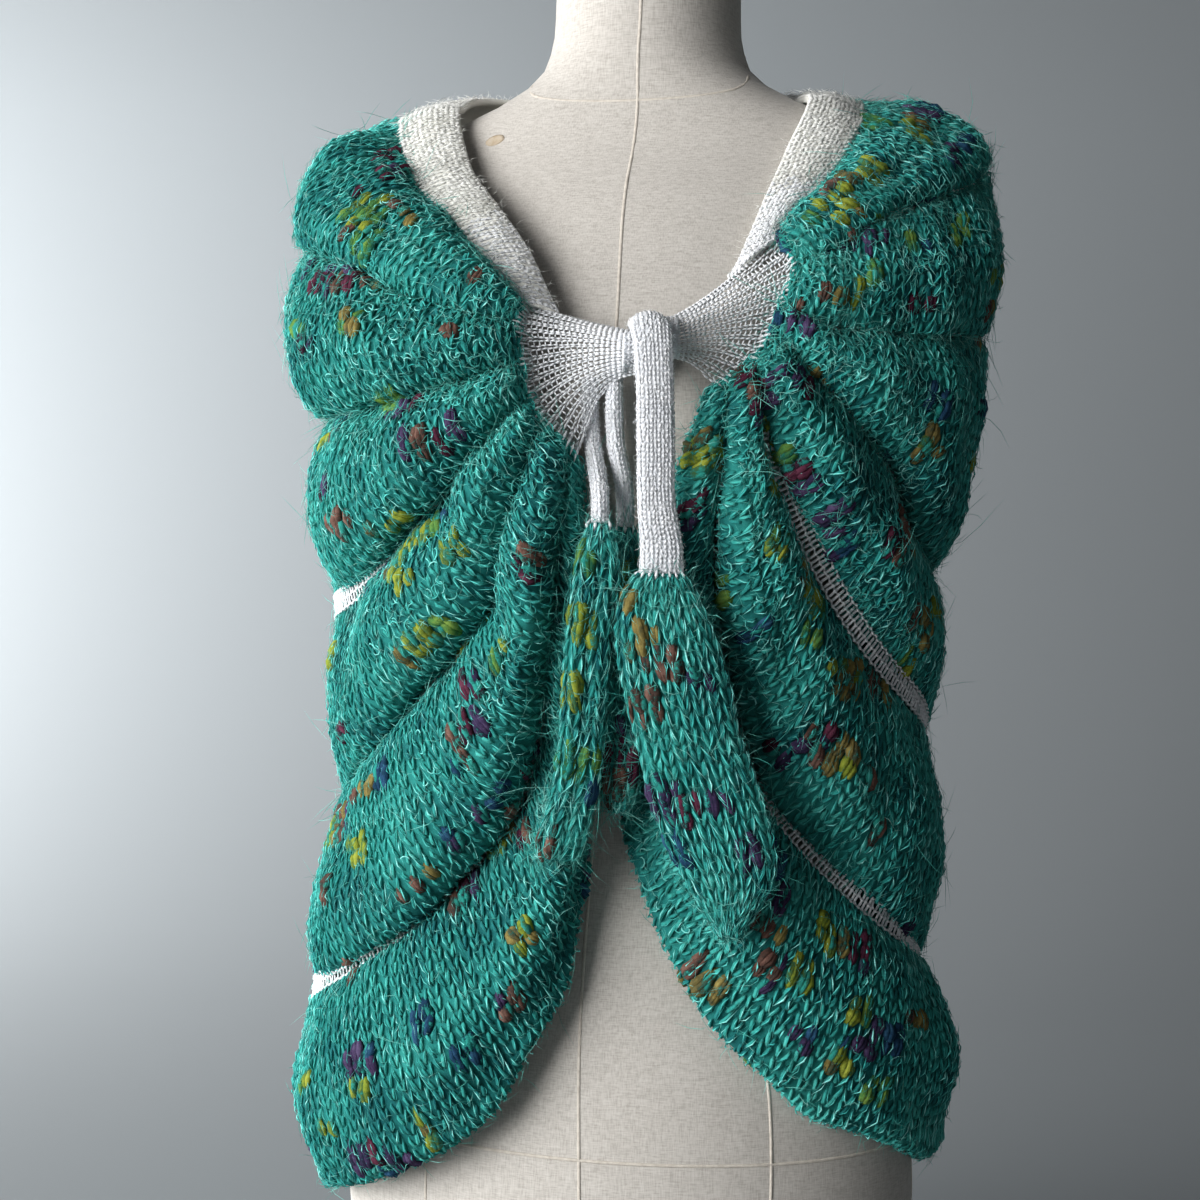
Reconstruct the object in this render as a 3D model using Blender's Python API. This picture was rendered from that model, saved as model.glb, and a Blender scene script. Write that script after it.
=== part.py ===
# Knitted open poncho of six lengthwise panels, worn on a limbless linen dress form.
# Metres, +Z up, front towards -Y. The origin is the centre of the form's flat base.
import math
from collections import namedtuple

import bpy
import numpy as np

MM = 0.001

# Driving dimensions of the garment
CLOTH_THICK = 4.0 * MM      # chunky brushed yarn in stocking stitch
ROW_THICK = 3.0 * MM        # thin white joining rows
ROW_WIDTH = 8.0 * MM
FAN_THICK = 2.4 * MM
BAND_CROWN = 1.5 * MM
SEAM_GAP = 0.3 * MM
GATHERED_SHARE = 0.34       # what is left of widths and thickness where the panels are gathered
GATHER_REACH = 0.20         # share of a front over which a panel opens out from its fan
FORM_CLEARANCE = 0.5 * MM   # where the cloth rests on the form
FRONT_STEPS = 13
BACK_STEPS = 8
BODY_RADIUS = 150.0         # spaces the stations along a line by how far round and how far down they go
CLEARING_ROUNDS = 6
SHARP_ANGLE = math.radians(50)
MOST_LEAN = 0.90            # share of half a row that a panel may lean out over
BAND_END_SHARE = 0.6        # thickness of the neckband where it meets the fans

# The profile of a panel between its two lines: how far across it, how much of its puff it has, and
# how much of half a joining row it leans out over
ProfileStep = namedtuple("ProfileStep", "share lift lean")
PROFILE = [
    ProfileStep(0.0, 0.0, 0.0),
    ProfileStep(0.05, 0.46, 1.0),
    ProfileStep(0.24, 0.86, 0.5),
    ProfileStep(0.5, 1.0, 0.0),
    ProfileStep(0.76, 0.86, 0.5),
    ProfileStep(0.95, 0.46, 1.0),
    ProfileStep(1.0, 0.0, 0.0),
]

# Driving dimensions of the dress form
FORM_TURN = math.radians(-11.5)
FORM_SIDES = 34
FORM_RINGS = 27
FORM_BUST_TO_NECK = 0.70    # above this height the rings lie closer together

FormSection = namedtuple("FormSection", "height half_width front back")
FORM_SECTIONS = [
    FormSection(0, 172, 112, 112),
    FormSection(70, 179, 118, 119),
    FormSection(150, 185, 122, 126),
    FormSection(220, 176, 118, 120),
    FormSection(300, 152, 108, 102),
    FormSection(370, 134, 101, 90),
    FormSection(440, 137, 106, 90),
    FormSection(520, 148, 122, 98),
    FormSection(600, 157, 134, 106),
    FormSection(660, 163, 127, 110),
    FormSection(720, 175, 108, 107),
    FormSection(765, 182, 88, 97),
    FormSection(793, 174, 71, 87),
    FormSection(815, 146, 63, 79),
    FormSection(830, 110, 59, 73),
    FormSection(843, 84, 58, 69),
    FormSection(856, 69, 58, 65),
    FormSection(872, 63, 57, 63),
    FormSection(905, 60.5, 57, 62),
    FormSection(940, 60, 57, 61),
]

# Each line runs from the left fan round the back to the right fan. The first is the neckline, the
# second the top of the panels, then the five joining rows, and the last is the hem.
LINE_NAMES = ["neckline", "top", "row_1", "row_2", "row_3", "row_4", "row_5", "hem"]

# Where a line lies on one front, in millimetres: x outwards from the middle and z up, at its fan,
# at four places between, and at the side
FrontPath = namedtuple("FrontPath", "fan near middle far last side")
LEFT_FRONT = [
    FrontPath((51, 680), (70, 720), (94, 756), (108, 778), (115, 799), (121, 834)),
    FrontPath((72, 684), (96, 716), (116, 743), (135, 760), (148, 786), (157, 825)),
    FrontPath((74, 671), (97, 678), (120, 685), (145, 695), (171, 711), (211, 739)),
    FrontPath((70, 650), (88, 647), (111, 642), (135, 636), (164, 631), (196, 631)),
    FrontPath((67, 630), (89, 608), (111, 583), (137, 552), (160, 524), (185, 503)),
    FrontPath((59, 616), (70, 577), (84, 518), (108, 483), (136, 447), (179, 381)),
    FrontPath((47, 605), (52, 538), (57, 455), (72, 387), (113, 337), (195, 254)),
    FrontPath((36, 591), (34, 484), (32, 368), (46, 282), (90, 210), (197, 135)),
]
RIGHT_FRONT = [
    FrontPath((48, 703), (60, 731), (68, 751), (78, 773), (87, 797), (98, 844)),
    FrontPath((76, 730), (82, 745), (97, 760), (110, 776), (121, 797), (138, 840)),
    FrontPath((85, 711), (105, 721), (126, 739), (150, 753), (177, 767), (216, 800)),
    FrontPath((77, 689), (92, 681), (114, 677), (140, 678), (175, 681), (216, 692)),
    FrontPath((70, 670), (93, 655), (118, 631), (142, 604), (161, 564), (186, 534)),
    FrontPath((62, 656), (69, 612), (77, 587), (99, 539), (130, 492), (182, 424)),
    FrontPath((50, 645), (45, 571), (56, 463), (80, 396), (127, 342), (183, 283)),
    FrontPath((36, 636), (17, 575), (-6, 411), (12, 332), (57, 257), (199, 158)),
]

# How far a line stands off the form at the front, its back depth and height, and how square its
# plan is: 2 is an ellipse
LineBack = namedtuple("LineBack", "standoff back_y back_z squareness")
LINE_BACKS = [
    LineBack(10, 84, 860, 3.4),
    LineBack(15, 96, 826, 2.9),
    LineBack(19, 120, 742, 2.5),
    LineBack(20, 131, 627, 2.3),
    LineBack(21, 122, 502, 2.2),
    LineBack(22, 116, 381, 2.2),
    LineBack(20, 138, 259, 2.2),
    LineBack(18, 152, 133, 2.2),
]

# How far each panel stands out between its two lines, round the body
Round = namedtuple("Round", "left_front left_side back right_side right_front")
PANEL_PUFFS = [
    Round(15, 26, 12, 20, 14),
    Round(18, 18, 14, 9, 15),
    Round(19, 10, 13, 11, 18),
    Round(20, 7, 12, 8, 16),
    Round(20, 12, 14, 12, 17),
    Round(11, 14, 16, 18, 15),
]

# How much of each joining row the panels beside it hide, from 0 to 1
ROW_COVERS = [
    Round(1.0, 0.8, 0.5, 0.7, 1.0),
    Round(1.0, 0.9, 0.4, 0.8, 1.0),
    Round(1.0, 0.1, 0.4, 0.9, 1.0),
    Round(1.0, 0.9, 0.5, 0.5, 0.0),
    Round(1.0, 0.0, 0.4, 0.7, 0.3),
]

# Fans, crossing and ties
FAN_ROWS = [0.0, 0.07, 0.17, 0.24, 0.34, 0.65, 1.0]
RIBS_PER_PANEL = 4
FAN_PLEAT = 0.7 * MM
FAN_GAP = 0.45 * MM         # from a fan to the ends of the panels, which meet it at different slants
# The narrow end of a fan, and how far its upper and lower edges curve in between
FanEnd = namedtuple("FanEnd", "x top_z foot_z y top_curve foot_curve")
LEFT_FAN_END = FanEnd(-13, 666, 642, -156, 0, 16)
RIGHT_FAN_END = FanEnd(16, 675, 652, -156, 8, 7)
FAN_SAG = 3.0 * MM
CROSSING_TWIST = math.radians(180)
CROSSING_SQUEEZE = 0.15
CROSSING_FLATNESS = 0.85
CROSSING_SIDES = 14
CROSSING_RINGS = 9

StrapStation = namedtuple("StrapStation", "x y z width thick")
WIDE_CORD = [
    StrapStation(4, -137.5, 646, 21, 5.0),
    StrapStation(3, -137.5, 662, 22, 5.0),
    StrapStation(1, -141.5, 673, 23, 6.0),
    StrapStation(0.5, -154.0, 675.5, 24, 6.5),
    StrapStation(1, -166.0, 672.5, 24, 7.0),
    StrapStation(2.5, -172.0, 661, 23, 7.5),
    StrapStation(4, -174.5, 640, 22, 8.0),
    StrapStation(5.5, -174.5, 600, 22, 8.0),
    StrapStation(6.5, -174.0, 568, 22, 8.0),
    StrapStation(10, -173.0, 540, 25, 8.5),
    StrapStation(10, -173.0, 528.6, 26, 9.0),
]
WIDE_CORD_SIDES = 12
WIDE_CORD_SQUARENESS = 0.7
CORD_WIDTH = 10.5 * MM
CORD_POINTS = 8
CordPoint = namedtuple("CordPoint", "x y z")
CORD_A = [
    CordPoint(-32, -138.1, 642),
    CordPoint(-32, -138.1, 622),
    CordPoint(-30.5, -141.0, 605),
    CordPoint(-27, -157.0, 585),
    CordPoint(-25, -168.5, 570),
    CordPoint(-25, -169.0, 556.7),
]
CORD_B = [
    CordPoint(-18.5, -145.2, 653),
    CordPoint(-18.4, -144.2, 640),
    CordPoint(-18.0, -144.4, 626),
    CordPoint(-16.5, -147.0, 602),
    CordPoint(-11.5, -150.0, 577),
    CordPoint(-10.5, -150.5, 566),
    CordPoint(-10.5, -150.5, 555.6),
]

TailSection = namedtuple("TailSection", "height left right y thick")
WIDE_TAIL = [
    TailSection(528, -3, 23, -173, 9),
    TailSection(516, -11, 31, -172, 13),
    TailSection(498, -15, 39, -171, 16),
    TailSection(470, -11, 49, -168, 17),
    TailSection(440, -3, 56, -164, 17),
    TailSection(413, 4, 66, -160, 17),
    TailSection(380, 15, 77, -156, 16),
    TailSection(356, 27, 79, -155, 14),
    TailSection(336, 40, 68, -154, 11),
    TailSection(321, 50, 57, -154, 6),
]
TAIL_A = [
    TailSection(556, -31, -19, -169, 10),
    TailSection(530, -38, -14, -169, 13),
    TailSection(492, -42, -19, -166, 14),
    TailSection(456, -44, -20, -162, 14),
    TailSection(421, -46, -22, -157, 14),
    TailSection(392, -52, -26, -153, 14),
    TailSection(371, -57, -31, -151, 12),
    TailSection(363, -54, -36, -151, 8),
]
TAIL_B = [
    TailSection(555, -16, -5, -150.5, 9),
    TailSection(530, -19, -2, -150, 11),
    TailSection(490, -21, 0, -148, 12),
    TailSection(440, -22, 1, -144, 12),
    TailSection(405, -21, -1, -141, 11),
    TailSection(390, -16, -7, -140, 6),
]
TAIL_SIDES = 16
TAIL_A_GROOVE = 0.55        # depth of the groove between its two rolled edges, as a share
GROOVE_WIDTH = 0.35

COLOURS = {
    "linen": (0.55, 0.47, 0.38),
    "teal": (0.02, 0.30, 0.23),
    "white": (0.82, 0.83, 0.82),
    "cream": (0.76, 0.74, 0.66),
}


def clear_scene():
    for item in list(bpy.data.objects):
        bpy.data.objects.remove(item, do_unlink=True)


def material_for(name, colour, roughness):
    material = bpy.data.materials.new(name)
    material.use_nodes = True
    shader = material.node_tree.nodes["Principled BSDF"]
    shader.inputs["Base Color"].default_value = (*COLOURS[colour], 1.0)
    shader.inputs["Roughness"].default_value = roughness
    shader.inputs["Metallic"].default_value = 0.0
    return material


def add_mesh(name, points, faces, colour, roughness=0.9):
    """A named object from points and faces, turned so that its faces point out."""
    points = np.asarray(points, float)
    volume = 0.0
    for face in faces:
        for k in range(1, len(face) - 1):
            a, b, c = points[face[0]], points[face[k]], points[face[k + 1]]
            volume += float(np.dot(a, np.cross(b, c)))
    if volume < 0:
        faces = [tuple(reversed(face)) for face in faces]
    mesh = bpy.data.meshes.new(name)
    mesh.from_pydata([tuple(p) for p in points], [], faces)
    mesh.validate()
    mesh.shade_smooth()
    mesh.set_sharp_from_angle(angle=SHARP_ANGLE)
    mesh.materials.append(material_for(name, colour, roughness))
    item = bpy.data.objects.new(name, mesh)
    bpy.context.scene.collection.objects.link(item)
    return item


def smooth_curve(knots, values, at):
    """Values at the places asked for, on a smooth curve through the knots."""
    knots = np.asarray(knots, float)
    values = np.asarray(values, float)
    if values.ndim == 1:
        values = values[:, None]
    steps = np.diff(knots)[:, None]
    slopes = np.diff(values, axis=0) / steps
    tangents = np.empty_like(values)
    tangents[0] = slopes[0]
    tangents[-1] = slopes[-1]
    before, after = steps[:-1], steps[1:]
    tangents[1:-1] = (slopes[:-1] * after + slopes[1:] * before) / (before + after)
    at = np.asarray(at, float)
    place = np.clip(np.searchsorted(knots, at, side="right") - 1, 0, len(knots) - 2)
    width = steps[place]
    t = (at - knots[place])[:, None] / width
    return (
        (2 * t**3 - 3 * t**2 + 1) * values[place]
        + (t**3 - 2 * t**2 + t) * width * tangents[place]
        + (-2 * t**3 + 3 * t**2) * values[place + 1]
        + (t**3 - t**2) * width * tangents[place + 1]
    )


def ease(share):
    """0 to 1 with a soft start and a soft end."""
    share = np.clip(share, 0.0, 1.0)
    return share * share * (3 - 2 * share)


def unit(vectors):
    return vectors / np.maximum(np.linalg.norm(vectors, axis=-1, keepdims=True), 1e-12)


# The dress form

def form_size(heights):
    """Half width, front depth and back depth of the form at the heights, in metres."""
    table = np.array(FORM_SECTIONS, float) * MM
    return smooth_curve(table[:, 0], table[:, 1:], np.atleast_1d(heights))


def form_rings():
    top = FORM_SECTIONS[-1].height * MM
    low = np.linspace(0.0, FORM_BUST_TO_NECK, FORM_RINGS // 2 + 1)
    high = np.linspace(FORM_BUST_TO_NECK, top, FORM_RINGS - len(low) + 1)
    return np.concatenate([low, high[1:]])


def build_dress_form():
    angles = np.linspace(0, 2 * math.pi, FORM_SIDES, endpoint=False)
    heights = form_rings()
    sizes = form_size(heights)
    points = []
    for height, (half, front, back) in zip(heights, sizes):
        for angle in angles:
            depth = back if math.sin(angle) > 0 else front
            points.append((half * math.cos(angle), depth * math.sin(angle), height))
    faces = []
    for ring in range(len(heights) - 1):
        for side in range(FORM_SIDES):
            a = ring * FORM_SIDES + side
            b = ring * FORM_SIDES + (side + 1) % FORM_SIDES
            faces.append((a, b, b + FORM_SIDES, a + FORM_SIDES))
    faces.append(tuple(reversed(range(FORM_SIDES))))
    last = (len(heights) - 1) * FORM_SIDES
    faces.append(tuple(range(last, last + FORM_SIDES)))
    form = add_mesh("dress_form", points, faces, "linen", 0.95)
    form.rotation_euler = (0, 0, FORM_TURN)


# The lines that the cloth hangs on

def plan_angle(x, half_width, squareness):
    return math.asin(min(1.0, abs(x) / half_width) ** (squareness / 2)) * (1 if x >= 0 else -1)


def form_level(points):
    """1 on the form's surface, more outside it and less inside."""
    cosine, sine = math.cos(FORM_TURN), math.sin(FORM_TURN)
    x = points[:, 0] * cosine + points[:, 1] * sine
    y = points[:, 1] * cosine - points[:, 0] * sine
    half, front, back = form_size(np.clip(points[:, 2], 0.0, FORM_SECTIONS[-1].height * MM)).T
    return np.hypot(x / half, y / np.where(y < 0, front, back))


def clear_of_form(points, gap):
    """The points, with those nearer to the form than the gap moved out along its surface's normal."""
    points = np.array(points, float)
    for _ in range(CLEARING_ROUNDS):
        here = form_level(points)
        slope = np.stack(
            [(form_level(points + step) - form_level(points - step)) / (2 * MM) for step in np.eye(3) * MM],
            axis=1,
        )
        steepness = np.linalg.norm(slope, axis=1)
        short = np.maximum(0.0, gap - (here - 1) / steepness)
        points += slope / steepness[:, None] * short[:, None]
    return points


def line_points(number):
    """Points along one line, from the left fan round the back to the right fan."""
    left, right, back = LEFT_FRONT[number], RIGHT_FRONT[number], LINE_BACKS[number]
    knots = []
    for path, turn in ((left, 1), (right, -1)):
        side_x = path.side[0]
        side = [(plan_angle(x, side_x, back.squareness), z) for x, z in path]
        if turn < 0:
            side = [(2 * math.pi - angle, z) for angle, z in reversed(side)]
            knots.append((math.pi, back.back_z))
        knots += side
    knots = np.array(knots, float)
    steps = np.hypot(np.diff(knots[:, 0]) * BODY_RADIUS, np.diff(knots[:, 1]))
    along = np.concatenate([[0.0], np.cumsum(steps)])
    last = len(FrontPath._fields)
    left_side, middle, right_side = along[last - 1], along[last], along[last + 1]
    places = np.concatenate([
        np.linspace(0.0, left_side, FRONT_STEPS + 1),
        np.linspace(left_side, middle, BACK_STEPS + 1)[1:],
        np.linspace(middle, right_side, BACK_STEPS + 1)[1:],
        np.linspace(right_side, along[-1], FRONT_STEPS + 1)[1:],
    ])
    curve = smooth_curve(along, knots, places)
    angle, height = curve[:, 0], curve[:, 1] * MM
    power = 2 / back.squareness
    sine, cosine = np.sin(angle), np.cos(angle)
    half = np.where(sine > 0, left.side[0], right.side[0]) * MM
    front = form_size(height)[:, 1] + back.standoff * MM
    depth = np.where(cosine > 0, front, back.back_y * MM)
    x = -half * np.sign(sine) * np.abs(sine) ** power
    y = -depth * np.sign(cosine) * np.abs(cosine) ** power
    return clear_of_form(np.stack([x, y, height], axis=1), CLOTH_THICK + FORM_CLEARANCE)


def station_shares():
    """For each station along a line: how far it is from its fan, from 0 to 1 at the side seam."""
    front = np.linspace(0, 1, FRONT_STEPS + 1)
    back = np.ones(2 * BACK_STEPS - 1)
    return np.concatenate([front, back, front[::-1]])


def along_body(values):
    """A value for each station from one for each front, side and the back."""
    left_front, left_side, back, right_side, right_front = values
    stations = 2 * (FRONT_STEPS + BACK_STEPS)
    knots = [
        0,
        FRONT_STEPS * 0.5,
        FRONT_STEPS,
        FRONT_STEPS + BACK_STEPS,
        stations - FRONT_STEPS,
        stations - FRONT_STEPS * 0.5,
        stations,
    ]
    table = [left_front, left_front, left_side, back, right_side, right_front, right_front]
    return smooth_curve(knots, table, np.arange(stations + 1))[:, 0]


def line_frames(lines):
    """Directions at each point of each line: across the cloth towards the hem, and out of it."""
    across, outward = [], []
    for number, line in enumerate(lines):
        before = lines[max(number - 1, 0)]
        after = lines[min(number + 1, len(lines) - 1)]
        tangent = unit(np.gradient(line, axis=0))
        down = after - before
        down = unit(down - (down * tangent).sum(1, keepdims=True) * tangent)
        across.append(down)
        outward.append(unit(np.cross(tangent, down)))
    return across, outward


def edge_faces(start, stop, at):
    """Two triangles across a wall's edge, split the same way on both sides of a seam."""
    outer_a, outer_b = at(*start, 0), at(*stop, 0)
    inner_a, inner_b = at(*start, 1), at(*stop, 1)
    if start < stop:
        return [(inner_a, inner_b, outer_a), (inner_b, outer_b, outer_a)]
    return [(inner_a, inner_b, outer_b), (inner_a, outer_b, outer_a)]


def add_wall(name, outer, inner, colour, open_cells=()):
    """A closed wall between two grids of points. open_cells are holes right through it."""
    rows, columns = outer.shape[:2]
    points = np.concatenate([outer.reshape(-1, 3), inner.reshape(-1, 3)])
    below = rows * columns

    def at(row, column, layer):
        return row * columns + column + layer * below

    solid = {
        (row, column)
        for row in range(rows - 1)
        for column in range(columns - 1)
        if (row, column) not in open_cells
    }
    faces = []
    for row, column in sorted(solid):
        corners = [(row, column), (row + 1, column), (row + 1, column + 1), (row, column + 1)]
        faces.append(tuple(at(r, c, 0) for r, c in corners))
        faces.append(tuple(at(r, c, 1) for r, c in reversed(corners)))
        neighbours = [(row, column - 1), (row + 1, column), (row, column + 1), (row - 1, column)]
        for k, neighbour in enumerate(neighbours):
            if neighbour not in solid:
                faces += edge_faces(corners[k], corners[(k + 1) % 4], at)
    return add_mesh(name, points, faces, colour)


def grid_normals(grid):
    along = np.gradient(grid, axis=0)
    over = np.gradient(grid, axis=1)
    return unit(np.cross(along, over))


def gathered(shares):
    """How wide and thick the cloth is at each station, less where it runs into its fan."""
    return GATHERED_SHARE + (1 - GATHERED_SHARE) * ease(shares / GATHER_REACH)


def panel_grid(lines, across, outward, number):
    """Outer and inner points of a panel between two lines, along by across."""
    shares = station_shares()
    open_width = gathered(shares)[:, None]
    half_row = ROW_WIDTH / 2 * open_width + SEAM_GAP
    first, last = number, number + 1
    top = lines[first] + across[first] * (half_row if number > 1 else 0.0)
    foot = lines[last] - across[last] * (half_row if last < len(lines) - 1 else 0.0)
    puff = along_body(PANEL_PUFFS[number - 1]) * MM * ease(shares / GATHER_REACH)
    covers = [along_body(cover)[:, None] for cover in ROW_COVERS]
    lean_up = covers[number - 2] * half_row if number > 1 else 0.0
    lean_down = covers[number - 1] * half_row if last < len(lines) - 1 else 0.0
    full = ease(shares / GATHER_REACH)[:, None]
    columns = []
    for step in PROFILE:
        blend = ease(step.share)
        way = unit(outward[first] * (1 - blend) + outward[last] * blend)
        beside_row = number > 1 if step.share < 0.5 else last < len(lines) - 1
        lift = step.lift if beside_row else math.sin(math.pi * step.share)
        place = top * (1 - step.share) + foot * step.share + way * puff[:, None] * lift
        if step.share < 0.5:
            place = place - across[first] * lean_up * full * step.lean * MOST_LEAN
        else:
            place = place + across[last] * lean_down * full * step.lean * MOST_LEAN
        columns.append(place)
    outer = clear_of_form(np.concatenate(columns), CLOTH_THICK + FORM_CLEARANCE)
    outer = outer.reshape(len(columns), -1, 3).transpose(1, 0, 2)
    normals = grid_normals(outer)
    normals[:, 0] = outward[first]
    normals[:, -1] = outward[last]
    inner = outer - normals * (CLOTH_THICK * open_width)[:, :, None]
    return outer, inner


def build_cloth(lines, across, outward):
    shares = station_shares()
    open_width = gathered(shares)[:, None]
    ends = {}
    for number in range(1, len(lines) - 1):
        outer, inner = panel_grid(lines, across, outward, number)
        add_wall(f"panel_{number}", outer, inner, "teal")
        ends[number] = (outer, inner)
    for number in range(2, len(lines) - 1):
        half_row = ROW_WIDTH / 2 * open_width
        columns = [lines[number] - across[number] * half_row, lines[number] + across[number] * half_row]
        outer = np.stack(columns, axis=1)
        inner = outer - outward[number][:, None] * (ROW_THICK * open_width)[:, :, None]
        add_wall(f"row_{number - 1}", outer, inner, "white")
    return ends


def build_neckband(lines, across, outward):
    """The band between the neckline and the top of the panels."""
    shares = station_shares()
    opened = BAND_END_SHARE + (1 - BAND_END_SHARE) * ease(shares / GATHER_REACH)
    thick = (CLOTH_THICK * opened)[:, None, None]
    top, foot = lines[0], lines[1] - across[1] * SEAM_GAP
    middle = (top + foot) / 2 + unit(outward[0] + outward[1]) * BAND_CROWN
    columns = []
    for column in (top, middle, foot):
        column = clear_of_form(column, CLOTH_THICK + 2 * FORM_CLEARANCE)
        column[0] += unit(column[1] - column[0]) * SEAM_GAP
        column[-1] += unit(column[-2] - column[-1]) * SEAM_GAP
        columns.append(column)
    outer = np.stack(columns, axis=1)
    normals = np.stack([outward[0], unit(outward[0] + outward[1]), outward[1]], axis=1)
    inner = outer - normals * thick
    add_wall("neckband", outer, inner, "cream")


# Fans, crossing and ties

def build_fan(name, ends, station, end):
    """Openwork fan from the gathered ends of the panels to the crossing."""
    outer_base, inner_base = [], []
    for number in sorted(ends):
        outer, inner = ends[number]
        for share in np.linspace(0, 1, RIBS_PER_PANEL):
            for grid, base in ((outer, outer_base), (inner, inner_base)):
                inward = unit(grid[station] - grid[station + (1 if station == 0 else -1)])
                edge = grid[station] + inward * FAN_GAP
                base.append(edge[0] * (1 - share) + edge[-1] * share)
    outer_base, inner_base = np.array(outer_base), np.array(inner_base)
    columns = len(outer_base)
    upward = unit(outer_base[0] - outer_base[-1])
    drop = (outer_base[0] - outer_base) @ upward
    level = (drop / drop[-1])[:, None]
    head = np.array([end.x, end.y, end.top_z]) * MM
    foot = np.array([end.x, end.y, end.foot_z]) * MM
    neck = head * (1 - level) + foot * level
    pleat = np.where(np.arange(columns) % 2 == 0, 1.0, -1.0)[:, None] * FAN_PLEAT
    away = np.array([0.0, -1.0, 0.0])
    curved = level**2 * end.foot_curve * MM - (1 - level) ** 2 * end.top_curve * MM
    thick = FAN_THICK * away
    rows_outer, rows_inner = [], []
    for share in FAN_ROWS:
        lift = math.sin(math.pi * share)
        front = outer_base * (1 - share) + neck * share + away * (pleat * lift - FAN_SAG * lift)
        front = front + upward * curved * lift
        rows_outer.append(front)
        rows_inner.append(inner_base if share == 0 else front - thick)
    holes = set()
    for panel in range(len(ends)):
        rib = RIBS_PER_PANEL * panel
        holes |= {(1, rib + 1), (3, rib), (3, rib + 2)}
    add_wall(name, np.array(rows_outer), np.array(rows_inner), "white", holes)


def add_loft(name, rings, colour):
    """A closed solid through rings of points, with flat ends."""
    rings = np.array(rings)
    count, sides = rings.shape[:2]
    faces = []
    for ring in range(count - 1):
        for side in range(sides):
            a, b = ring * sides + side, ring * sides + (side + 1) % sides
            faces.append((a, b, b + sides, a + sides))
    faces.append(tuple(reversed(range(sides))))
    faces.append(tuple(range((count - 1) * sides, count * sides)))
    return add_mesh(name, rings.reshape(-1, 3), faces, colour)


def build_crossing():
    """The two fans' ends twisted round each other."""
    left, right = LEFT_FAN_END, RIGHT_FAN_END
    half_tall = (left.top_z - left.foot_z) / 2 * MM
    half_deep = half_tall * CROSSING_FLATNESS
    angles = np.linspace(0, 2 * math.pi, CROSSING_SIDES, endpoint=False)
    behind = FAN_THICK / 2
    start = np.array([left.x, left.y, (left.top_z + left.foot_z) / 2]) * MM + [SEAM_GAP, behind, 0]
    stop = np.array([right.x, right.y, (right.top_z + right.foot_z) / 2]) * MM + [-SEAM_GAP, behind, 0]
    loft = []
    for share in np.linspace(0, 1, CROSSING_RINGS):
        turn = CROSSING_TWIST * ease(share)
        waist = 1 - CROSSING_SQUEEZE * math.sin(math.pi * share) ** 0.5
        tall = half_tall * np.sin(angles) * waist
        deep = half_deep * np.cos(angles) * waist
        y = deep * math.cos(turn) - tall * math.sin(turn)
        z = deep * math.sin(turn) + tall * math.cos(turn)
        centre = start * (1 - share) + stop * share
        x = np.full(CROSSING_SIDES, centre[0])
        loft.append(np.stack([x, centre[1] + y, centre[2] + z], axis=1))
    add_loft("crossing", loft, "white")


def build_wide_cord():
    """A flat knitted cord that rises behind the crossing, folds over it and hangs in front."""
    table = np.array(WIDE_CORD, float) * MM
    centre = table[:, :3]
    tangent = unit(np.gradient(centre, axis=0))
    across = np.array([1.0, 0.0, 0.0])
    across = unit(across - (tangent @ across)[:, None] * tangent)
    out = np.cross(tangent, across)
    angles = np.linspace(0, 2 * math.pi, WIDE_CORD_SIDES, endpoint=False)
    sideways = np.sign(np.cos(angles)) * np.abs(np.cos(angles)) ** WIDE_CORD_SQUARENESS
    loft = []
    for k in range(len(table)):
        wide = table[k, 3] / 2 * sideways
        deep = table[k, 4] / 2 * np.sin(angles)
        loft.append(centre[k] + wide[:, None] * across[k] + deep[:, None] * out[k])
    add_loft("cord_wide", loft, "white")


def build_cord(name, route):
    """A round knitted cord through a short list of points."""
    table = np.array(route, float) * MM
    along = np.concatenate([[0.0], np.cumsum(np.linalg.norm(np.diff(table, axis=0), axis=1))])
    line = smooth_curve(along, table, np.linspace(0, along[-1], CORD_POINTS))
    curve = bpy.data.curves.new(name, "CURVE")
    curve.dimensions = "3D"
    curve.bevel_depth = CORD_WIDTH / 2
    curve.bevel_resolution = 2
    curve.use_fill_caps = True
    spline = curve.splines.new("POLY")
    spline.points.add(len(line) - 1)
    for point, place in zip(spline.points, line):
        point.co = (*place, 1.0)
    curve.materials.append(material_for(name, "white", 0.9))
    item = bpy.data.objects.new(name, curve)
    bpy.context.scene.collection.objects.link(item)


def build_tail(name, sections, rings, groove=0.0):
    """A leaf-shaped knitted tail. groove sinks the middle of its face between two rolled edges."""
    table = np.array(sections, float) * MM
    fine = np.linspace(0, len(table) - 1, rings)
    table = smooth_curve(np.arange(len(table)), table, fine)
    angles = np.linspace(0, 2 * math.pi, TAIL_SIDES, endpoint=False)
    loft = []
    for height, left, right, y, thick in table:
        wide, deep = np.cos(angles), np.sin(angles)
        dent = 1 - groove * np.exp(-((wide / GROOVE_WIDTH) ** 2)) * (deep < 0)
        x = (left + right) / 2 + (right - left) / 2 * wide
        depth = y + thick / 2 * deep * dent
        loft.append(np.stack([x, depth, np.full(TAIL_SIDES, height)], axis=1))
    add_loft(name, loft, "teal")


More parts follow.
